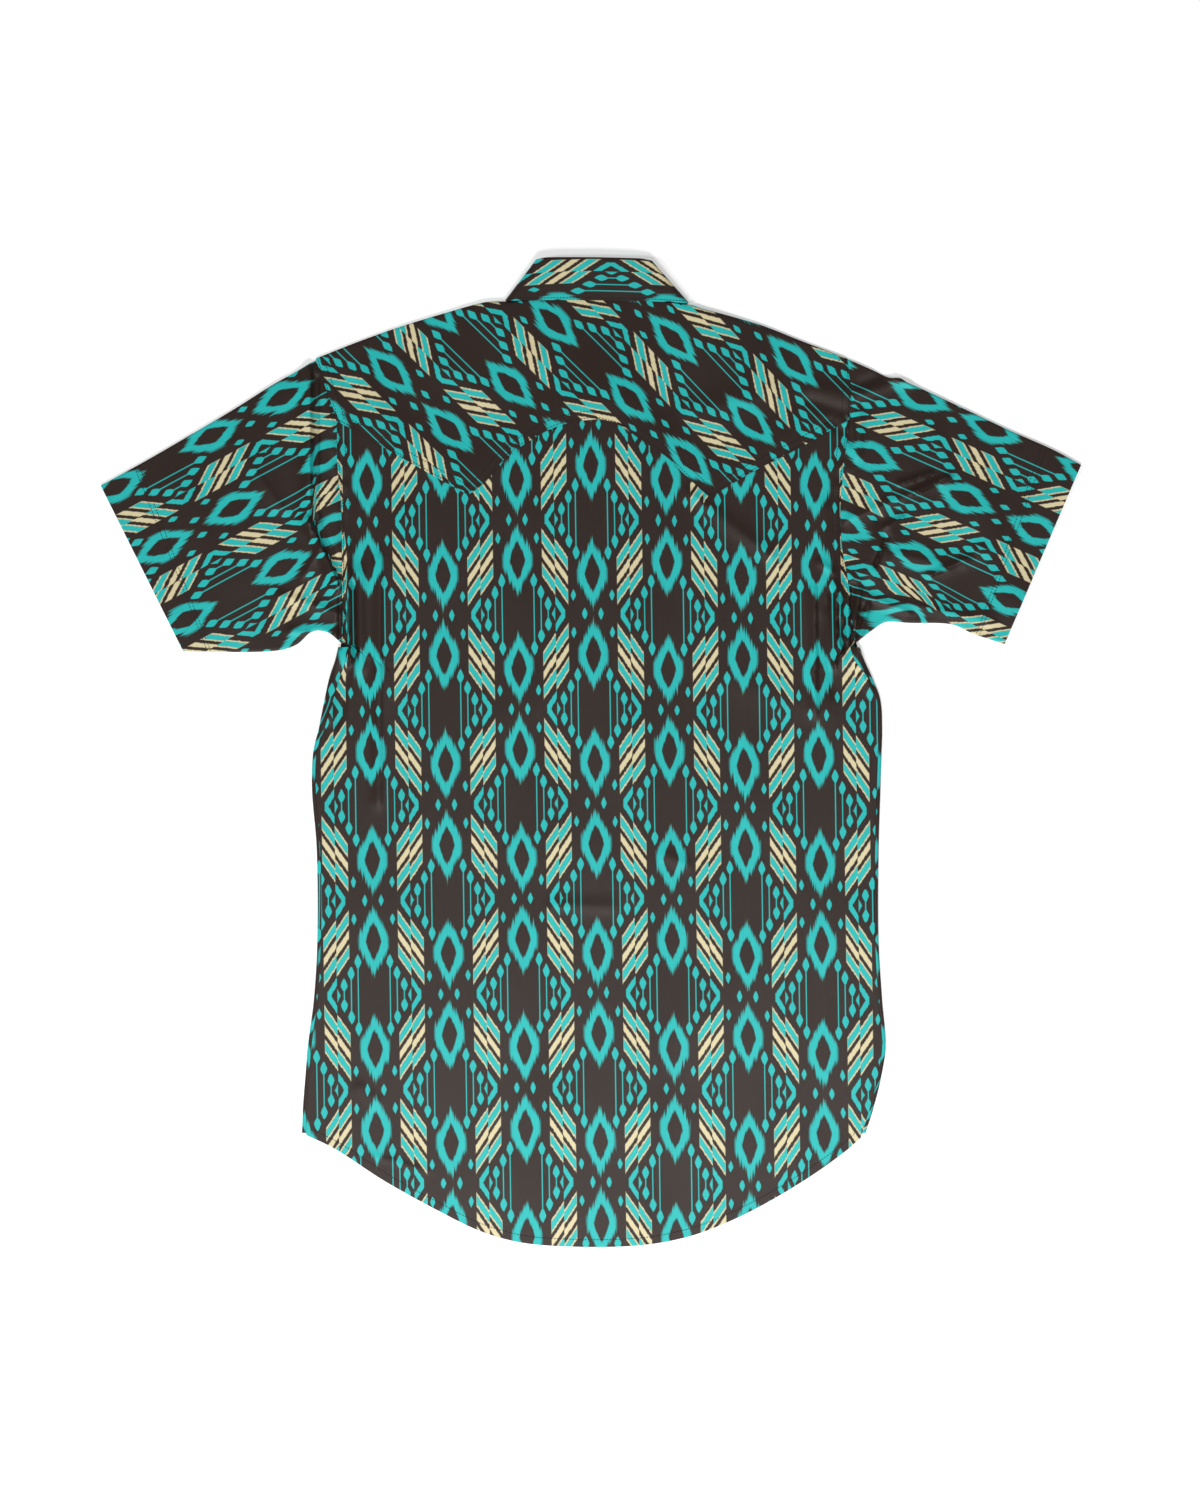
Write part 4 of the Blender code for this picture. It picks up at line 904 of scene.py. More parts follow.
def sleeve_unrolled(which, closed, down, first_top, last_top):
    """Plan positions of a sleeve's points, if the rest of its tube lay flat beside its top layer."""
    along = walked(closed)
    unrolled = closed[first_top, :, :2][None] + down[None] * (along - along[first_top])[..., None]
    unrolled[first_top:last_top] = closed[first_top:last_top, :, :2]
    beyond = (along[last_top:] - along[last_top])[..., None]
    unrolled[last_top:] = closed[last_top, :, :2][None] + down[None] * beyond
    if which == "left":
        hidden, past = tucked(TUCKS, unrolled[..., 0], unrolled[..., 1])
        unrolled = unrolled + pairs(hidden * past, 0.0)
    else:
        for pull in PULLS:
            away = np.hypot(unrolled[..., 0] - pull.x, unrolled[..., 1] - pull.y) / pull.reach
            share = np.exp(-away ** 2)
            unrolled = unrolled - pairs(pull.dx * share, pull.dy * share)
    return unrolled


def sleeve_sheet(which):
    """A sleeve as a flattened tube, open at armhole and cuff, with its seam along the underarm."""
    outward = -1 if which == "left" else 1
    rings, tops_count, lows_count, arc_steps = 112, 130, 50, 8
    u = evenly(rings) ** RING_SPREAD
    upper, under = sleeve_edges(which, u)
    length = np.linalg.norm(under - upper, axis=1)
    down = (under - upper) / length[:, None]
    fall = upper[0, 1] - under[0, 1]

    def across(y, layer):
        margin = FOLD / length[:, None]
        share = np.clip((upper[0, 1] - y[None]) / fall, margin, 1 - margin)[..., None]
        straight = blend(upper[0], under[0], ((upper[0, 1] - y) / fall)[:, None])
        seam = pairs(armhole(y, layer + which) + outward * SEAM, y)
        fade = ((1 - u) ** ARMHOLE_FADE)[:, None, None]
        return blend(upper[:, None], under[:, None], share) + (seam - straight)[None] * fade

    tops = across(np.linspace(arm_top_y(which), ARMHOLE_END_Y, tops_count), "back_")
    lows = across(np.linspace(arm_top_y(which), ARMHOLE_END_Y, lows_count), "front_")
    tops, lows = with_height(tops, top_z), with_height(lows, front_base_z)

    def round_fold(top, low, away):
        """Points between the top and the low layer, from above to below. A row for each step."""
        out, z = fold_arc(top[:, 2], low[:, 2], arc_steps)
        shares = (np.arange(1, arc_steps + 1) / arc_steps)[:, None, None]
        plan = blend(top[None, :, :2], low[None, :, :2], shares) + away[None] * out[..., None]
        return np.concatenate([plan, z[..., None]], -1)[:-1]

    upper_arc = round_fold(tops[:, 0], lows[:, 0], -down)
    under_arc = round_fold(tops[:, -1], lows[:, -1], down)
    half = len(under_arc) // 2
    # Round the tube from the underarm seam: along the low layer, over the upper fold and down the top layer
    ring = [under_arc[half:], lows.transpose(1, 0, 2)[::-1], upper_arc[::-1], tops.transpose(1, 0, 2),
            under_arc[:half]]
    ring = np.vstack(ring)
    closed = np.vstack([ring, ring[:1]])
    first_top = len(under_arc) - half + lows_count + len(upper_arc)
    unrolled = sleeve_unrolled(which, closed, down, first_top, first_top + tops_count - 1)
    sheet = Sheet()
    index = sheet.add(ring)
    index = np.vstack([index, index[:1]])
    sheet.join(index.T, print_place("sleeve_" + which, unrolled).transpose(1, 0, 2))
    return sheet


# Collar

def collar_place(rows, steps, part):
    x = through(rows, "step", part + "x", np.abs(steps)) * np.where(steps < 0, -1, 1)
    if part:
        x = x + FOLD_SHIFT
    y = through(rows, "step", part + "y", np.abs(steps)) - LEAN * x
    z = np.maximum(through(rows, "step", part + "z", np.abs(steps)), FRONT_Z)
    return np.stack([CENTRE + x, y, z], -1)


def stand_edge(steps):
    place = collar_place(STAND, steps, "")
    turn = 90 * (np.abs(steps) - FRONT_NECK_STEP) / (LEAF[-1].step - FRONT_NECK_STEP)
    neck = front_neck(np.where(steps < 0, turn, 180 - turn))
    centre = np.array([CENTRE, FRONT_NECK_Y])
    follows = np.abs(steps) >= FRONT_NECK_STEP
    place[follows, :2] = blend(centre, neck, 1 - STAND_INSIDE / FRONT_NECK_DEPTH)[follows]
    return place


def collar_sheet(rows, steps, edges, right_lift, roll_to=None):
    """A band round the neck, from its lower edge to the fold of the collar, and round the roll of it."""
    folds = collar_place(rows, steps, "fold_")
    lift = right_lift * ease((steps - STAND_LAP_START) / STAND_LAP_FADE)
    shares = np.linspace(0, 1, COLLAR_ROWS)[None, :, None]
    lines = blend(edges[:, None], folds[:, None], shares)
    lines = lines + np.array([0, 0, 1]) * lift[:, None, None]
    if roll_to is not None:
        out = folds[:, :2] - edges[:, :2]
        out = out / np.linalg.norm(out, axis=1, keepdims=True)
        middle = (folds + roll_to) / 2
        out = np.concatenate([out, 0 * out[:, :1]], 1)
        arcs = [middle + (folds - middle) * math.cos(turn) + out * COLLAR_ROLL * math.sin(turn)
                for turn in np.radians(np.arange(30, 180, 30))]
        lines = np.concatenate([lines, np.stack(arcs, 1)], 1)
    middle = len(steps) // 2
    along = walked(lines) - walked(lines)[middle]
    up = walked(lines[middle][:, None])[:, 0]
    plan = pairs(CENTRE + along, lines[middle, 0, 1] + up)
    sheet = Sheet()
    sheet.join(sheet.add(lines), print_place("collar", plan))
    return sheet


def stand_sheet():
    columns = 216
    steps = np.linspace(-STAND_END, STAND_END, columns + 1)
    return collar_sheet(STAND, steps, stand_edge(steps), LAYER)


def leaf_sheet():
    columns = 192
    steps = np.linspace(-LEAF[-1].step, LEAF[-1].step, columns + 1)
    edges = collar_place(LEAF, steps, "")
    return collar_sheet(LEAF, steps, edges, 0.0, collar_place(STAND, steps, "fold_"))


# Looks: shader maths written as Python expressions

class Value:
    """A socket of a shader tree that can stand in an expression."""

    def __init__(self, tree, socket):
        self.tree = tree
        self.socket = socket

    def __add__(self, other):
        return self.tree.math("ADD", self, other)

    def __sub__(self, other):
        return self.tree.math("SUBTRACT", self, other)

    def __rsub__(self, other):
        return self.tree.math("SUBTRACT", other, self)

    def __mul__(self, other):
        return self.tree.math("MULTIPLY", self, other)

    def __truediv__(self, other):
        return self.tree.math("DIVIDE", self, other)

    def __abs__(self):
        return self.tree.math("ABSOLUTE", self)

    __radd__ = __add__
    __rmul__ = __mul__


class Look:
    """A material with a Principled shader, and the nodes that feed it."""

    def __init__(self, name, **constants):
        self.material = bpy.data.materials.new(name)
        self.material.use_nodes = True
        self.nodes = self.material.node_tree.nodes
        self.links = self.material.node_tree.links
        self.shader = self.nodes["Principled BSDF"]
        self.feed(**constants)

    def set_inputs(self, node, inputs):
        for key, value in inputs.items():
            if isinstance(value, Value):
                self.links.new(value.socket, node.inputs[key])
            else:
                node.inputs[key].default_value = value

    def node(self, kind, settings=None, inputs=None, output=0):
        """One node: its settings first, then the values or links of its sockets."""
        node = self.nodes.new(kind)
        for key, value in (settings or {}).items():
            setattr(node, key, value)
        self.set_inputs(node, inputs or {})
        return Value(self, node.outputs[output])

    def math(self, operation, *values, clamp=False):
        settings = {"operation": operation, "use_clamp": clamp}
        return self.node("ShaderNodeMath", settings, dict(enumerate(values)))

    def smaller(self, first, second):
        return self.math("MINIMUM", first, second)

    def larger(self, first, second):
        return self.math("MAXIMUM", first, second)

    def mask(self, inside, soft):
        """0 to 1 over a soft edge, from how far a point is inside a shape."""
        return self.math("MULTIPLY_ADD", inside, 1 / soft, 0.5, clamp=True)

    def mix(self, factor, first, second):
        first, second = (part if isinstance(part, Value) else tuple(part) for part in (first, second))
        # A Mix node's colour sockets are its seventh and eighth inputs, and its colour comes out third
        return self.node("ShaderNodeMix", {"data_type": "RGBA"}, {0: factor, 6: first, 7: second}, output=2)

    def noise(self, vector, scale, detail, roughness=0.5):
        inputs = {"Vector": vector, "Scale": scale, "Detail": detail, "Roughness": roughness}
        return self.node("ShaderNodeTexNoise", None, inputs)

    def drift(self, u, v, kind):
        """Noise that follows the threads of the cloth, with a middle of 0."""
        inputs = {0: u * kind.across, 1: v * kind.along, 2: kind.start}
        place = self.node("ShaderNodeCombineXYZ", None, inputs)
        return self.noise(place, 1.0, kind.detail, kind.roughness) - 0.5

    def spots(self, scale, detail):
        """Noise in the space of the object, which is the fourth output of its node."""
        return self.noise(self.node("ShaderNodeTexCoord", output=3), scale, detail)

    def feed(self, **inputs):
        self.set_inputs(self.shader, {key.replace("_", " "): value for key, value in inputs.items()})


def folded_place(look, u, v):
    """Place in a quarter of the repeat, which is mirrored both ways and set half a repeat down in turn."""
    x = look.math("PINGPONG", u, REPEAT_WIDTH / 2)
    y = look.math("PINGPONG", v, REPEAT_HEIGHT / 2)
    turned = look.math("GREATER_THAN", x, REPEAT_WIDTH / 4)
    return x + turned * (REPEAT_WIDTH / 2 - x * 2), y + turned * (REPEAT_HEIGHT / 2 - y * 2)


def eye_masks(look, x, y, threads):
    """Masks of an eye with its hole, and of its tips."""
    eye_y = abs(y + threads * EYE_FEATHER - EYE.y)
    width = look.math("SMOOTH_MIN", EYE.flank_width - eye_y * EYE.flank_fall, EYE.half_width, EYE_BEND)
    hole_y = abs(y + threads * HOLE_FEATHER - EYE.hole_y)
    hole_x = look.math("POWER", x / EYE.hole_width, HOLE_POWER_X)
    hole = 1 - hole_x - look.math("POWER", hole_y / EYE.hole_height, HOLE_POWER_Y)
    eye = look.mask(width - x + threads * FLANK_FEATHER, EYE_SOFT)
    eye = look.smaller(eye, 1 - look.mask(hole * EYE.hole_width, HOLE_SOFT))
    tip = look.smaller(look.mask(TIP.half_width - x, TIP.soft), look.mask(eye_y - TIP.start, TIP.start_soft))
    return eye, look.smaller(tip, look.mask(TIP.end - eye_y, TIP.end_soft))


def drop_mask(look, x, y, drop):
    """Mask of one drop, with a stem where it has one."""
    away = y - drop.y
    if drop.above == drop.below:
        tall = abs(away) / drop.above
    else:
        tall = look.larger(away / drop.below, away / -drop.above)
    inside = (1 - tall * (tall + 1) * 0.5) * drop.half_width - abs(x - drop.x)
    if drop.stem:
        inside = look.larger(inside, look.smaller(drop.stem - abs(x - drop.x), away))
    return look.mask(inside, DROP_SOFT)


def side_mask(look, x, y):
    """Mask of the half drop and of the chevron at the quarter's side."""
    half_drop = (1 - (REPEAT_HEIGHT / 2 - y) / HALF_DROP_HEIGHT) * (HALF_DROP_SIDE - HALF_DROP_TIP)
    half_drop = look.smaller(half_drop - (HALF_DROP_SIDE - x), HALF_DROP_SIDE - x)
    outer = look.larger((abs(y) - CHEVRON_FLAT) / CHEVRON_OUTER_SLOPE, 0.0) + CHEVRON_OUTER
    inner = abs(y) / CHEVRON_INNER_SLOPE + CHEVRON_INNER
    return look.mask(look.larger(half_drop, look.smaller(x - outer, inner - x)), BAR_SOFT)


def bar_masks(look, x, y):
    """Masks of the slanting bars: the turquoise in them, and the cream bars and edges."""
    across = y - (x - BAR_LEFT) * BAR_SLOPE
    teals, creams = [], []
    for bar in BARS:
        whole = look.smaller(across - bar.start, bar.end - across) * BAR_ACROSS
        whole = look.mask(look.smaller(whole, x - BAR_LEFT), BAR_SOFT)
        if bar.cream:
            creams.append(whole)
            continue
        core = look.smaller(across - bar.start - BAR_EDGE, bar.end - BAR_EDGE - across) * BAR_ACROSS
        core = look.smaller(look.mask(core, BAR_SOFT), whole)
        teals.append(core)
        creams.append(look.smaller(whole, 1 - core))
    return teals, creams


def print_masks(look, u, v, feather):
    """Masks of the print's turquoise, of its cream and of its eyes' tips, for places in millimetres."""
    x, even_y = folded_place(look, u, v)
    y = even_y + look.drift(u, v, TEETH) * feather * ROW_FEATHER
    eye, tip = eye_masks(look, x, even_y, look.drift(u, v, THREADS) * feather)
    drops = [drop_mask(look, x, y, drop) for drop in DROPS]
    teals, creams = bar_masks(look, x, y)
    teal = reduce(look.larger, [eye, *drops, side_mask(look, x, y), *teals])
    return teal, reduce(look.larger, creams), tip


def printed_look(settings):
    """Poplin printed with a feathered repeat of eyes, drops on stems and slanting bars."""
    look = Look("printed_poplin", Specular_IOR_Level=0.27, Sheen_Weight=0.01, Sheen_Roughness=0.45)
    place = look.node("ShaderNodeUVMap", {"uv_map": "print"})
    u, v = (look.node("ShaderNodeSeparateXYZ", None, {0: place}, axis) * (1 / METRE) for axis in (0, 1))
    teal, cream, tip = print_masks(look, u, v, settings.feather)

    slub = look.drift(u, v, WARP) + look.drift(u, v, WEFT) * WEFT_SHARE
    slub = slub + look.drift(u, v, PATCHES) * PATCHES_SHARE
    ground = look.mix(slub + 0.5, settings.ground_dark, settings.ground_light)
    figure = look.mix(slub + 0.5, settings.figure_dark, settings.figure_light)
    light = look.mix(slub + 0.5, settings.edge_dark, settings.edge_light)
    colour = look.mix(cream, look.mix(teal, ground, figure), light)
    colour = look.mix(tip * TIP.strength, colour, settings.tip)

    turn = 2 * math.pi / THREAD_PITCH
    weave = look.math("SINE", u * turn) * look.math("SINE", v * turn)
    relief = weave * WEAVE_RELIEF + slub * SLUB_RELIEF
    normal = look.node("ShaderNodeBump", None, {"Strength": 0.5, "Distance": METRE, "Height": relief})
    look.feed(Base_Color=colour, Roughness=0.47 + slub * SLUB_ROUGHNESS, Normal=normal)
    return look.material


def thread_look(settings):
    look = Look("thread", Roughness=0.7, Specular_IOR_Level=0.2)
    twist = look.spots(scale=2600.0, detail=1.0)
    look.feed(Base_Color=look.mix(twist, settings.thread_dark, settings.thread_light))
    return look.material


def pearl_look():
    look = Look("snap_pearl", Roughness=0.16, Coat_Weight=0.6, Coat_Roughness=0.05)
    clouds = look.spots(scale=190.0, detail=3.0)
    bands = look.math("SINE", clouds * PEARL_BANDS) * 0.5 + 0.5
    look.feed(Base_Color=look.mix(bands, PEARL_WARM, PEARL_COOL))
    return look.material


def metal_look():
    look = Look("snap_rim", Metallic=1.0, Roughness=0.3)
    wear = look.spots(scale=900.0, detail=3.0)
    look.feed(Base_Color=look.mix(wear, RIM_DARK, RIM_LIGHT), Roughness=wear * 0.25 + 0.22)
    return look.material


def floor_look(settings):
    look = Look("floor", Roughness=0.95, Specular_IOR_Level=0.1, Emission_Strength=settings.glow)
    spots = look.spots(scale=3.0, detail=2.0)
    shade = tuple(settings.floor)
    darker = tuple(value * FLOOR_UNEVEN for value in shade[:3]) + (1.0,)
    look.feed(Base_Color=look.mix(spots, shade, darker),
              Emission_Color=look.mix(spots, WHITE, NEAR_WHITE))
    return look.material


def look_once(name, make, *arguments):
    return bpy.data.materials.get(name) or make(*arguments)


# Stitching: Geometry Nodes set a short thread along each line

def socket_id(tree, name):
    return next(item.identifier for item in tree.interface.items_tree
                if item.name == name and item.in_out == "INPUT")


def stitch_tree():
    """A tree that lays stitches along a mesh's edges."""
    tree = bpy.data.node_groups.new("stitches", "GeometryNodeTree")
    interface = tree.interface
    interface.new_socket("Geometry", in_out="INPUT", socket_type="NodeSocketGeometry")
    for name in ("Pitch", "Length", "Width"):
        interface.new_socket(name, in_out="INPUT", socket_type="NodeSocketFloat")
    interface.new_socket("Thread", in_out="INPUT", socket_type="NodeSocketMaterial")
    interface.new_socket("Geometry", in_out="OUTPUT", socket_type="NodeSocketGeometry")

    def node(kind, **inputs):
        made = tree.nodes.new(kind)
        for key, value in inputs.items():
            socket = made.inputs[key.replace("_", " ")]
            if isinstance(value, bpy.types.NodeSocket):
                tree.links.new(value, socket)
            else:
                socket.default_value = value
        return made

    given = tree.nodes.new("NodeGroupInput").outputs
    lines = node("GeometryNodeMeshToCurve", Mesh=given["Geometry"])
    even = tree.nodes.new("GeometryNodeResampleCurve")
    even.mode = "LENGTH"
    tree.links.new(lines.outputs["Curve"], even.inputs["Curve"])
    tree.links.new(given["Pitch"], even.inputs["Length"])
    bead = node("GeometryNodeMeshIcoSphere", Radius=0.5, Subdivisions=1)
    size = node("ShaderNodeCombineXYZ", X=given["Length"], Y=given["Width"], Z=given["Width"])
    tangent = node("GeometryNodeInputTangent")
    turn = node("FunctionNodeAlignRotationToVector", Vector=tangent.outputs[0])
    turn.axis = "X"
    laid = node("GeometryNodeInstanceOnPoints", Points=even.outputs["Curve"], Instance=bead.outputs["Mesh"],
                Rotation=turn.outputs[0], Scale=size.outputs[0])
    whole = node("GeometryNodeRealizeInstances", Geometry=laid.outputs[0])
    dressed = node("GeometryNodeSetMaterial", Geometry=whole.outputs[0], Material=given["Thread"])
    out = tree.nodes.new("NodeGroupOutput")
    tree.links.new(dressed.outputs[0], out.inputs[0])
    return tree


def stitch_piece(name, lines, thread, pitch):
    """Stitches of one seam or group of seams, made a plain mesh. Each line is an array of points."""
    mesh = bpy.data.meshes.new(name + "_lines")
    vertices, edges = [], []
    for line in lines:
        start = len(vertices)
        vertices.extend((line * METRE).tolist())
        edges.extend((start + i, start + i + 1) for i in range(len(line) - 1))
    mesh.from_pydata(vertices, edges, [])
    source = bpy.data.objects.new(name + "_lines", mesh)
    bpy.context.scene.collection.objects.link(source)
    modifier = source.modifiers.new("stitches", "NODES")
    tree = bpy.data.node_groups.get("stitches") or stitch_tree()
    modifier.node_group = tree
    modifier[socket_id(tree, "Pitch")] = pitch * METRE
    modifier[socket_id(tree, "Length")] = pitch * STITCH_SHARE * METRE
    modifier[socket_id(tree, "Width")] = THREAD_WIDTH * METRE
    modifier[socket_id(tree, "Thread")] = thread
    evaluated = source.evaluated_get(bpy.context.evaluated_depsgraph_get())
    made = bpy.data.meshes.new_from_object(evaluated)
    made.name = name
    bpy.data.objects.remove(source)
    bpy.data.meshes.remove(mesh)
    made.shade_smooth()
    add_piece(name, made)


def drawn(line, height, above):
    """A plan line, laid on a height or at a distance above it."""
    return with_height(line, lambda x, y: height(x, y) + above)


def inset(line, distance):
    """A plan line moved to its left by a distance."""
    along = np.gradient(line, axis=0)
    along = along / np.linalg.norm(along, axis=1, keepdims=True)
    return line + distance * np.stack([-along[:, 1], along[:, 0]], 1)


def yoke_stitches(above):
    lines = []
    for distance in YOKE_ROWS:
        quarters = [np.linspace(at + YOKE_RUN[0], at + YOKE_RUN[1], num=90) for at in (0.0, 0.25, 0.5, 0.75)]
        line = np.vstack([inset(yoke_edge(quarter), distance) for quarter in quarters])
        lines.append(drawn(line, yoke_z, above))
    return lines


def sleeve_hem_stitches(which, above):
    lines = []
    for inward in SLEEVE_ROWS:
        upper, under = sleeve_edges(which, 1 - inward / SLEEVE_LENGTH)
        line = blend(upper, under, np.linspace(*SLEEVE_RUN, num=80)[:, None])
        lines.append(drawn(line, top_z, above))
        lines.append(drawn(line, front_base_z, -above))
    return lines


def hem_stitches(above):
    x = np.linspace(*HEM_RUN, num=200)
    lines = [drawn(inset(pairs(x, through(HEM, "x", "y", x)), HEM_ROW), top_z, above)]
    for height, run in ((front_left_z, HEM_RUN_LEFT), (front_right_z, HEM_RUN_RIGHT)):
        x = np.linspace(*run, num=120)
        lines.append(drawn(inset(pairs(x, front_hem(x)), HEM_ROW), height, -above))
    return lines


def armhole_stitches(above):
    """Two rows beside each armhole seam, on the yoke and on the back under it."""
    lines = []
    for which, inward, corner in (("left", 1, YOKE_EDGE[0][0]), ("right", -1, YOKE_EDGE[-1][-1])):
        on_yoke = (corner.y + ARMHOLE_RUN_YOKE, corner.y + ARMHOLE_RUN_GAP, yoke_z)
        on_back = (corner.y - ARMHOLE_RUN_GAP, ARMHOLE_RUN_END_Y, top_z)
        for distance in ARMHOLE_ROWS:
            for start, stop, height in (on_yoke, on_back):
                y = np.linspace(start, stop, num=90)
                lines.append(drawn(pairs(armhole(y, "back_" + which) + inward * distance, y), height, above))
    return lines


def collar_stitches(above):
    steps = np.linspace(-LEAF_RUN, LEAF_RUN, num=90)
    edge, fold = collar_place(LEAF, steps, ""), collar_place(LEAF, steps, "fold_")
    return [blend(edge, fold, LEAF_ROW) + np.array([0, 0, above])]


def placket_stitches(above):
    y = np.linspace(*PLACKET_RUN, num=260)
    return [drawn(pairs(CENTRE + x, y), placket_z, -above)
            for x in (PLACKET_ROW - PLACKET_HALF, PLACKET_HALF - PLACKET_ROW)]


# Snaps

# A snap's profile from the middle of its face to the middle of its back, in shares of its radius and height
SNAP_PROFILE = [
    (0.0, 0.16), (0.2, 0.165), (0.4, 0.185), (0.58, 0.22), (0.7, 0.27), (0.74, 0.25), (0.76, 0.1),
    (0.79, 0.03), (0.84, 0.0), (0.9, 0.02), (0.96, 0.12), (1.0, 0.32), (1.0, 0.5), (0.97, 0.8), (0.9, 0.97),
    (0.0, 1.0),
]
SNAP_SIDES = 40
PEARL_RINGS = 5              # how many rings of the profile are pearl, not rim


def snap_mesh(name, x, y, pearl, rim):
    """A round cap, face down: a pearl set in a rolled rim."""
    mesh = bpy.data.meshes.new(name)
    vertices = [(x, y, SNAP_PROFILE[0][1] * SNAP_HEIGHT)]
    for radius, height in SNAP_PROFILE[1:-1]:
        for side in range(SNAP_SIDES):
            turn = 2 * math.pi * side / SNAP_SIDES
            vertices.append((x + SNAP_RADIUS * radius * math.cos(turn),
                             y + SNAP_RADIUS * radius * math.sin(turn), height * SNAP_HEIGHT))
    vertices.append((x, y, SNAP_HEIGHT))
    last = len(vertices) - 1
    faces, slots = [], []
    for side in range(SNAP_SIDES):
        after = (side + 1) % SNAP_SIDES
        faces.append((0, 1 + side, 1 + after))
        slots.append(0)
        faces.append((last, last - SNAP_SIDES + after, last - SNAP_SIDES + side))
        slots.append(1)
        for ring in range(len(SNAP_PROFILE) - 3):
            start = 1 + ring * SNAP_SIDES
            faces.append((start + side, start + SNAP_SIDES + side,
                          start + SNAP_SIDES + after, start + after))
            slots.append(0 if ring < PEARL_RINGS else 1)
    mesh.from_pydata([Vector(vertex) * METRE for vertex in vertices], [], faces)
    mesh.materials.append(pearl)
    mesh.materials.append(rim)
    mesh.polygons.foreach_set("material_index", slots)
    face_outward(mesh)
    return mesh


# The add-on: what a user would change, and an operator for each piece or group of like pieces

def tint(name, description, default):
    return FloatVectorProperty(name=name, description=description, default=default, size=4, subtype="COLOR",
                               min=0.0, max=1.0)


class ShirtPrint(bpy.types.PropertyGroup):
    """Colours of the printed cloth and of its thread."""

    ground_dark: tint("Ground, dark", "Darker threads of the ground", (0.0156, 0.0082, 0.0060, 1.0))
    ground_light: tint("Ground, light", "Lighter threads of the ground", (0.0285, 0.0168, 0.0125, 1.0))
    figure_dark: tint("Figure, dark", "Darker threads of the turquoise", (0.007, 0.34, 0.325, 1.0))
    figure_light: tint("Figure, light", "Lighter threads of the turquoise", (0.022, 0.49, 0.47, 1.0))
    edge_dark: tint("Cream, dark", "Darker threads of the cream", (0.52, 0.455, 0.262, 1.0))
    edge_light: tint("Cream, light", "Lighter threads of the cream", (0.68, 0.60, 0.372, 1.0))
    tip: tint("Tips", "Tips of the eyes, where two dyes meet", (0.09, 0.12, 0.03, 1.0))
    thread_dark: tint("Thread, dark", "Shaded side of the sewing thread", (0.010, 0.008, 0.009, 1.0))
    thread_light: tint("Thread, light", "Lit side of the sewing thread", (0.028, 0.023, 0.024, 1.0))
    feather: FloatProperty(name="Feather", description="How uneven the edges of the figures are",
                           default=1.0, min=0.0, max=3.0, subtype="FACTOR")


class ShirtCloth(bpy.types.PropertyGroup):
    """Sizes of the cloth and its sewing."""

    wall: FloatProperty(name="Wall", description="Thickness of one layer of cloth", default=0.0007,
                        min=0.0002, max=0.002, subtype="DISTANCE", unit="LENGTH")
    pitch: FloatProperty(name="Stitch", description="Length of one stitch", default=0.0026,
                         min=0.001, max=0.006, subtype="DISTANCE", unit="LENGTH")


class ShirtStage(bpy.types.PropertyGroup):
    """Floor, light and camera."""

    floor: tint("Floor", "Colour of the surface", (0.62, 0.62, 0.62, 1.0))
    glow: FloatProperty(name="Glow", description="Light the floor gives off, as a light table does",
                        default=0.46, min=0.0, max=2.0)
    sky: FloatProperty(name="Sky", description="Strength of the even light", default=0.24, min=0.0, max=5.0)
    key: FloatProperty(name="Key", description="Power of the large light on the hem's side", default=45.0,
                       min=0.0, max=500.0, subtype="POWER", unit="POWER")
    side: FloatProperty(name="Side", description="Strength of the low light from the left, on the folds",
                        default=1.4, min=0.0, max=20.0)
    height: FloatProperty(name="Camera height", description="Height of the camera over the surface",
                          default=3.0, min=1.0, max=10.0, subtype="DISTANCE", unit="LENGTH")


def settings():
    scene = bpy.context.scene
    return scene.shirt_print, scene.shirt_cloth, scene.shirt_stage


def cloth_piece(name, sheet):
    print_settings, cloth_settings, _ = settings()
    look = look_once("printed_poplin", printed_look, print_settings)
    cloth(name, sheet, look, cloth_settings.wall / METRE)


class SHIRT_OT_back(bpy.types.Operator):
    """Make the back, with the folds of its top layer"""

    bl_idname = "shirt.back"
    bl_label = "Back"

    def execute(self, context):
        cloth_piece("back", back_sheet())
        return {"FINISHED"}


class SHIRT_OT_yoke(bpy.types.Operator):
    """Make the pointed yoke, which rolls over the shoulders"""

    bl_idname = "shirt.yoke"
    bl_label = "Yoke"

    def execute(self, context):
        cloth_piece("yoke", yoke_sheet())
        return {"FINISHED"}


class SHIRT_OT_fronts(bpy.types.Operator):
    """Make both fronts and the placket strip under the left one's edge"""

    bl_idname = "shirt.fronts"
    bl_label = "Fronts"

    def execute(self, context):
        cloth_piece("front_left", front_sheet("left"))
        cloth_piece("front_right", front_sheet("right"))
        cloth_piece("placket", placket_sheet())
        return {"FINISHED"}


class SHIRT_OT_sleeves(bpy.types.Operator):
    """Make both sleeves as flattened tubes"""

    bl_idname = "shirt.sleeves"
    bl_label = "Sleeves"

    def execute(self, context):
        cloth_piece("sleeve_left", sleeve_sheet("left"))
        cloth_piece("sleeve_right", sleeve_sheet("right"))
        return {"FINISHED"}


class SHIRT_OT_collar(bpy.types.Operator):
    """Make the collar's stand and its leaf, with the roll between them"""

    bl_idname = "shirt.collar"
    bl_label = "Collar"

    def execute(self, context):
        cloth_piece("collar_stand", stand_sheet())
        cloth_piece("collar_leaf", leaf_sheet())
        return {"FINISHED"}


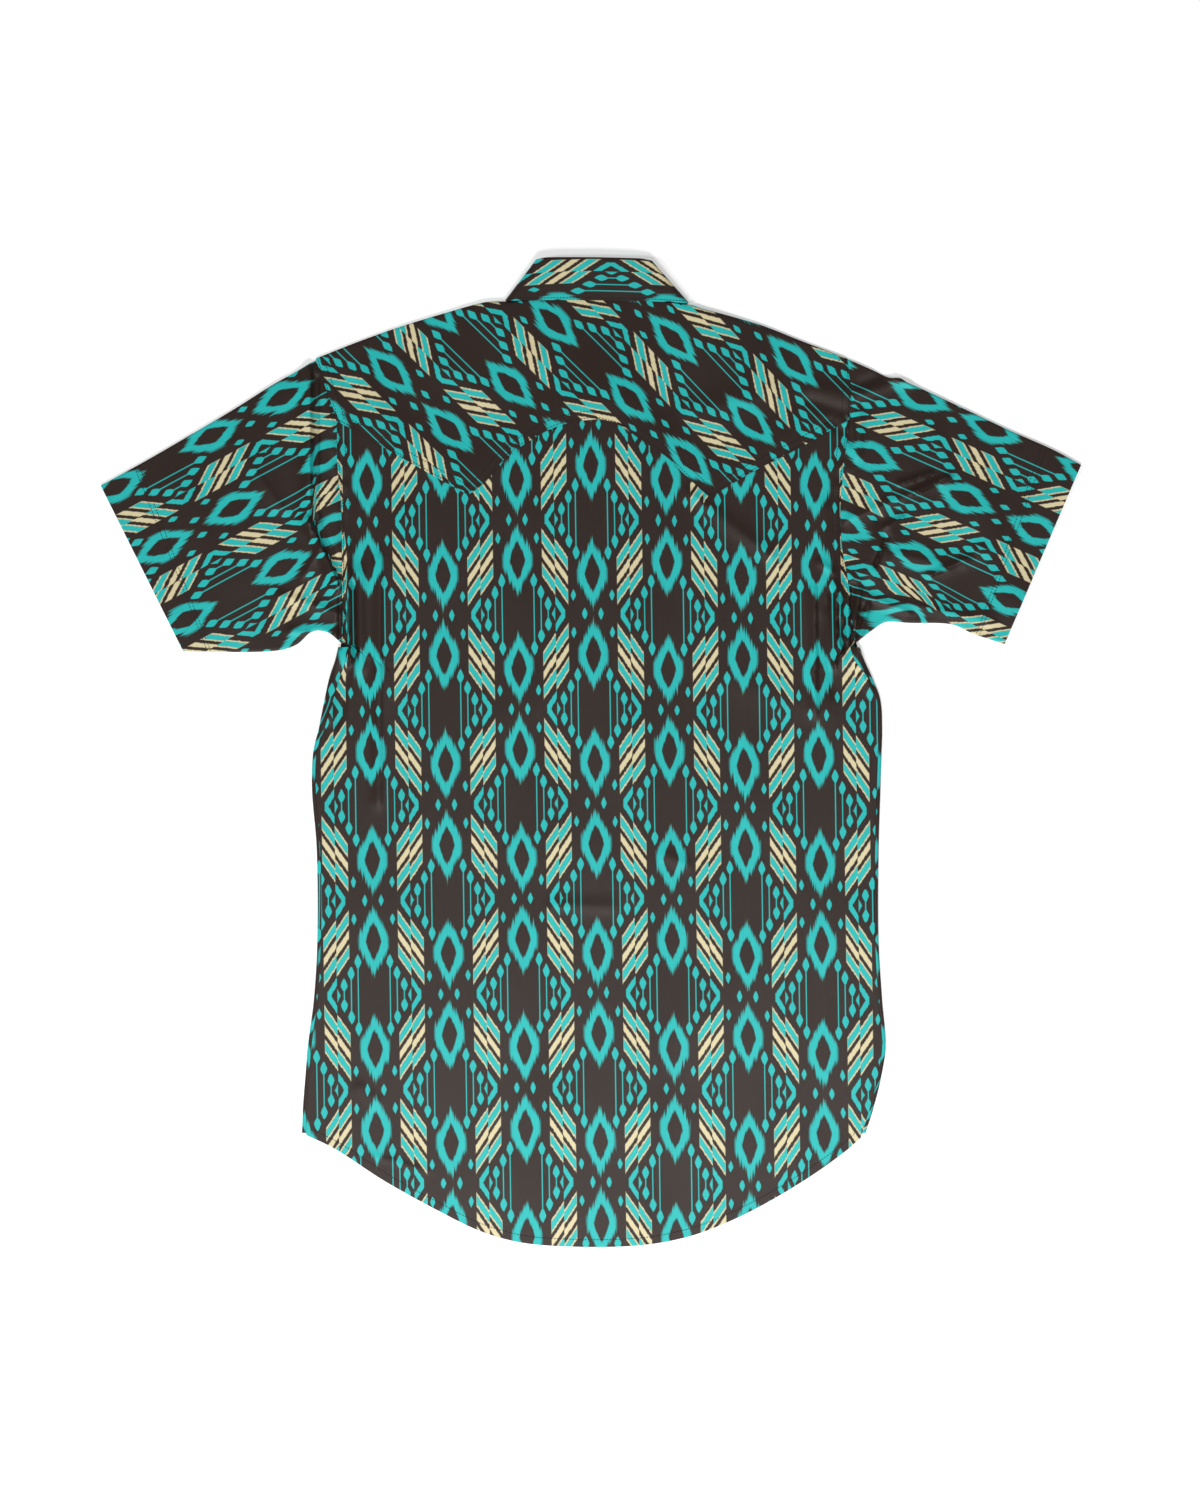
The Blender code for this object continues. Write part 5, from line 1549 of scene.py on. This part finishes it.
class SHIRT_OT_stitching(bpy.types.Operator):
    """Lay the stitches of the yoke, the armholes, the hems, the collar and the placket"""

    bl_idname = "shirt.stitching"
    bl_label = "Stitching"

    def execute(self, context):
        print_settings, cloth_settings, _ = settings()
        thread = look_once("thread", thread_look, print_settings)
        above = cloth_settings.wall / METRE / 2 + STITCH_LIFT
        seams = {
            "stitches_yoke": yoke_stitches(above),
            "stitches_armholes": armhole_stitches(above),
            "stitches_sleeves": sleeve_hem_stitches("left", above) + sleeve_hem_stitches("right", above),
            "stitches_hem": hem_stitches(above),
            "stitches_collar": collar_stitches(above),
            "stitches_placket": placket_stitches(above),
        }
        for name, lines in seams.items():
            stitch_piece(name, lines, thread, cloth_settings.pitch / METRE)
        return {"FINISHED"}


class SHIRT_OT_snaps(bpy.types.Operator):
    """Make the snap caps, each a pearl in a metal rim"""

    bl_idname = "shirt.snaps"
    bl_label = "Snaps"

    def execute(self, context):
        pearl = look_once("snap_pearl", pearl_look)
        rim = look_once("snap_rim", metal_look)
        for name, y in zip(SNAP_NAMES, SNAP_YS):
            piece = add_piece(name + "_cap", snap_mesh(name + "_cap", CENTRE, y, pearl, rim))
            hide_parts(name)
        return {"FINISHED"}


def place_light(data, place, aim):
    light = bpy.data.objects.new(data.name, data)
    light.location = place
    light.rotation_mode = "QUATERNION"
    light.rotation_quaternion = (Vector(aim) - Vector(place)).to_track_quat("-Z", "Y")
    bpy.context.scene.collection.objects.link(light)
    return light


class SHIRT_OT_stage(bpy.types.Operator):
    """Make the floor, the soft light and the camera straight above"""

    bl_idname = "shirt.stage"
    bl_label = "Stage"

    def execute(self, context):
        stage = settings()[2]
        scene = context.scene
        mesh = bpy.data.meshes.new("floor")
        signs = [(-1, -1), (1, -1), (1, 1), (-1, 1)]
        mesh.from_pydata([(FLOOR_HALF * x, FLOOR_HALF * y, 0) for x, y in signs], [], [(0, 1, 2, 3)])
        mesh.materials.append(floor_look(stage))
        floor = bpy.data.objects.new("floor", mesh)
        scene.collection.objects.link(floor)

        world = bpy.data.worlds.new("sky")
        world.use_nodes = True
        sky = world.node_tree.nodes["Background"].inputs
        sky["Color"].default_value = WHITE
        sky["Strength"].default_value = stage.sky
        scene.world = world
        scene.view_settings.view_transform = "Standard"
        data = bpy.data.lights.new("key", "AREA")
        data.energy = stage.key
        data.shape = "RECTANGLE"
        data.size, data.size_y = KEY_SIZE
        place_light(data, KEY_PLACE, KEY_AIM)
        data = bpy.data.lights.new("side", "SUN")
        data.energy = stage.side
        data.angle = SIDE_ANGLE
        side = place_light(data, SIDE_PLACE, (0.0, 0.0, 0.0))
        side.visible_glossy = False

        right = (PHOTO_SIZE[0] / 2 - PHOTO_ZERO[0]) * PHOTO_SCALE * METRE
        up = (PHOTO_ZERO[1] - PHOTO_SIZE[1] / 2) * PHOTO_SCALE * METRE
        data = bpy.data.cameras.new("camera")
        data.sensor_width = SENSOR_WIDTH
        tall = PHOTO_SIZE[1] * PHOTO_SCALE * METRE
        data.lens = data.sensor_width * (stage.height - CLOTH_TOP) / tall
        camera = bpy.data.objects.new("camera", data)
        camera.location = (right, up, stage.height)
        scene.collection.objects.link(camera)
        scene.camera = camera
        return {"FINISHED"}


class SHIRT_PT_panel(bpy.types.Panel):
    """Lists the shirt's settings and pieces in the sidebar."""

    bl_idname = "SHIRT_PT_panel"
    bl_label = "Snap shirt"
    bl_space_type = "VIEW_3D"
    bl_region_type = "UI"
    bl_category = "Snap shirt"

    def draw(self, context):
        for group in settings():
            box = self.layout.box()
            for name in group.__annotations__:
                box.prop(group, name)
        column = self.layout.column(align=True)
        for operator in OPERATORS:
            column.operator(operator.bl_idname)


OPERATORS = (SHIRT_OT_back, SHIRT_OT_yoke, SHIRT_OT_fronts, SHIRT_OT_sleeves, SHIRT_OT_collar,
             SHIRT_OT_stitching, SHIRT_OT_snaps, SHIRT_OT_stage)
GROUPS = {"shirt_print": ShirtPrint, "shirt_cloth": ShirtCloth, "shirt_stage": ShirtStage}


def register():
    for group in GROUPS.values():
        bpy.utils.register_class(group)
    for name, group in GROUPS.items():
        setattr(bpy.types.Scene, name, PointerProperty(type=group))
    for cls in OPERATORS + (SHIRT_PT_panel,):
        bpy.utils.register_class(cls)


def unregister():
    for cls in reversed(OPERATORS + (SHIRT_PT_panel,)):
        bpy.utils.unregister_class(cls)
    for name, group in GROUPS.items():
        delattr(bpy.types.Scene, name)
        bpy.utils.unregister_class(group)


def main():
    register()
    bpy.ops.shirt.back()
    bpy.ops.shirt.yoke()
    bpy.ops.shirt.fronts()
    bpy.ops.shirt.sleeves()
    bpy.ops.shirt.collar()
    bpy.ops.shirt.stitching()
    bpy.ops.shirt.snaps()
    bpy.ops.shirt.stage()


if __name__ == "__main__":
    main()
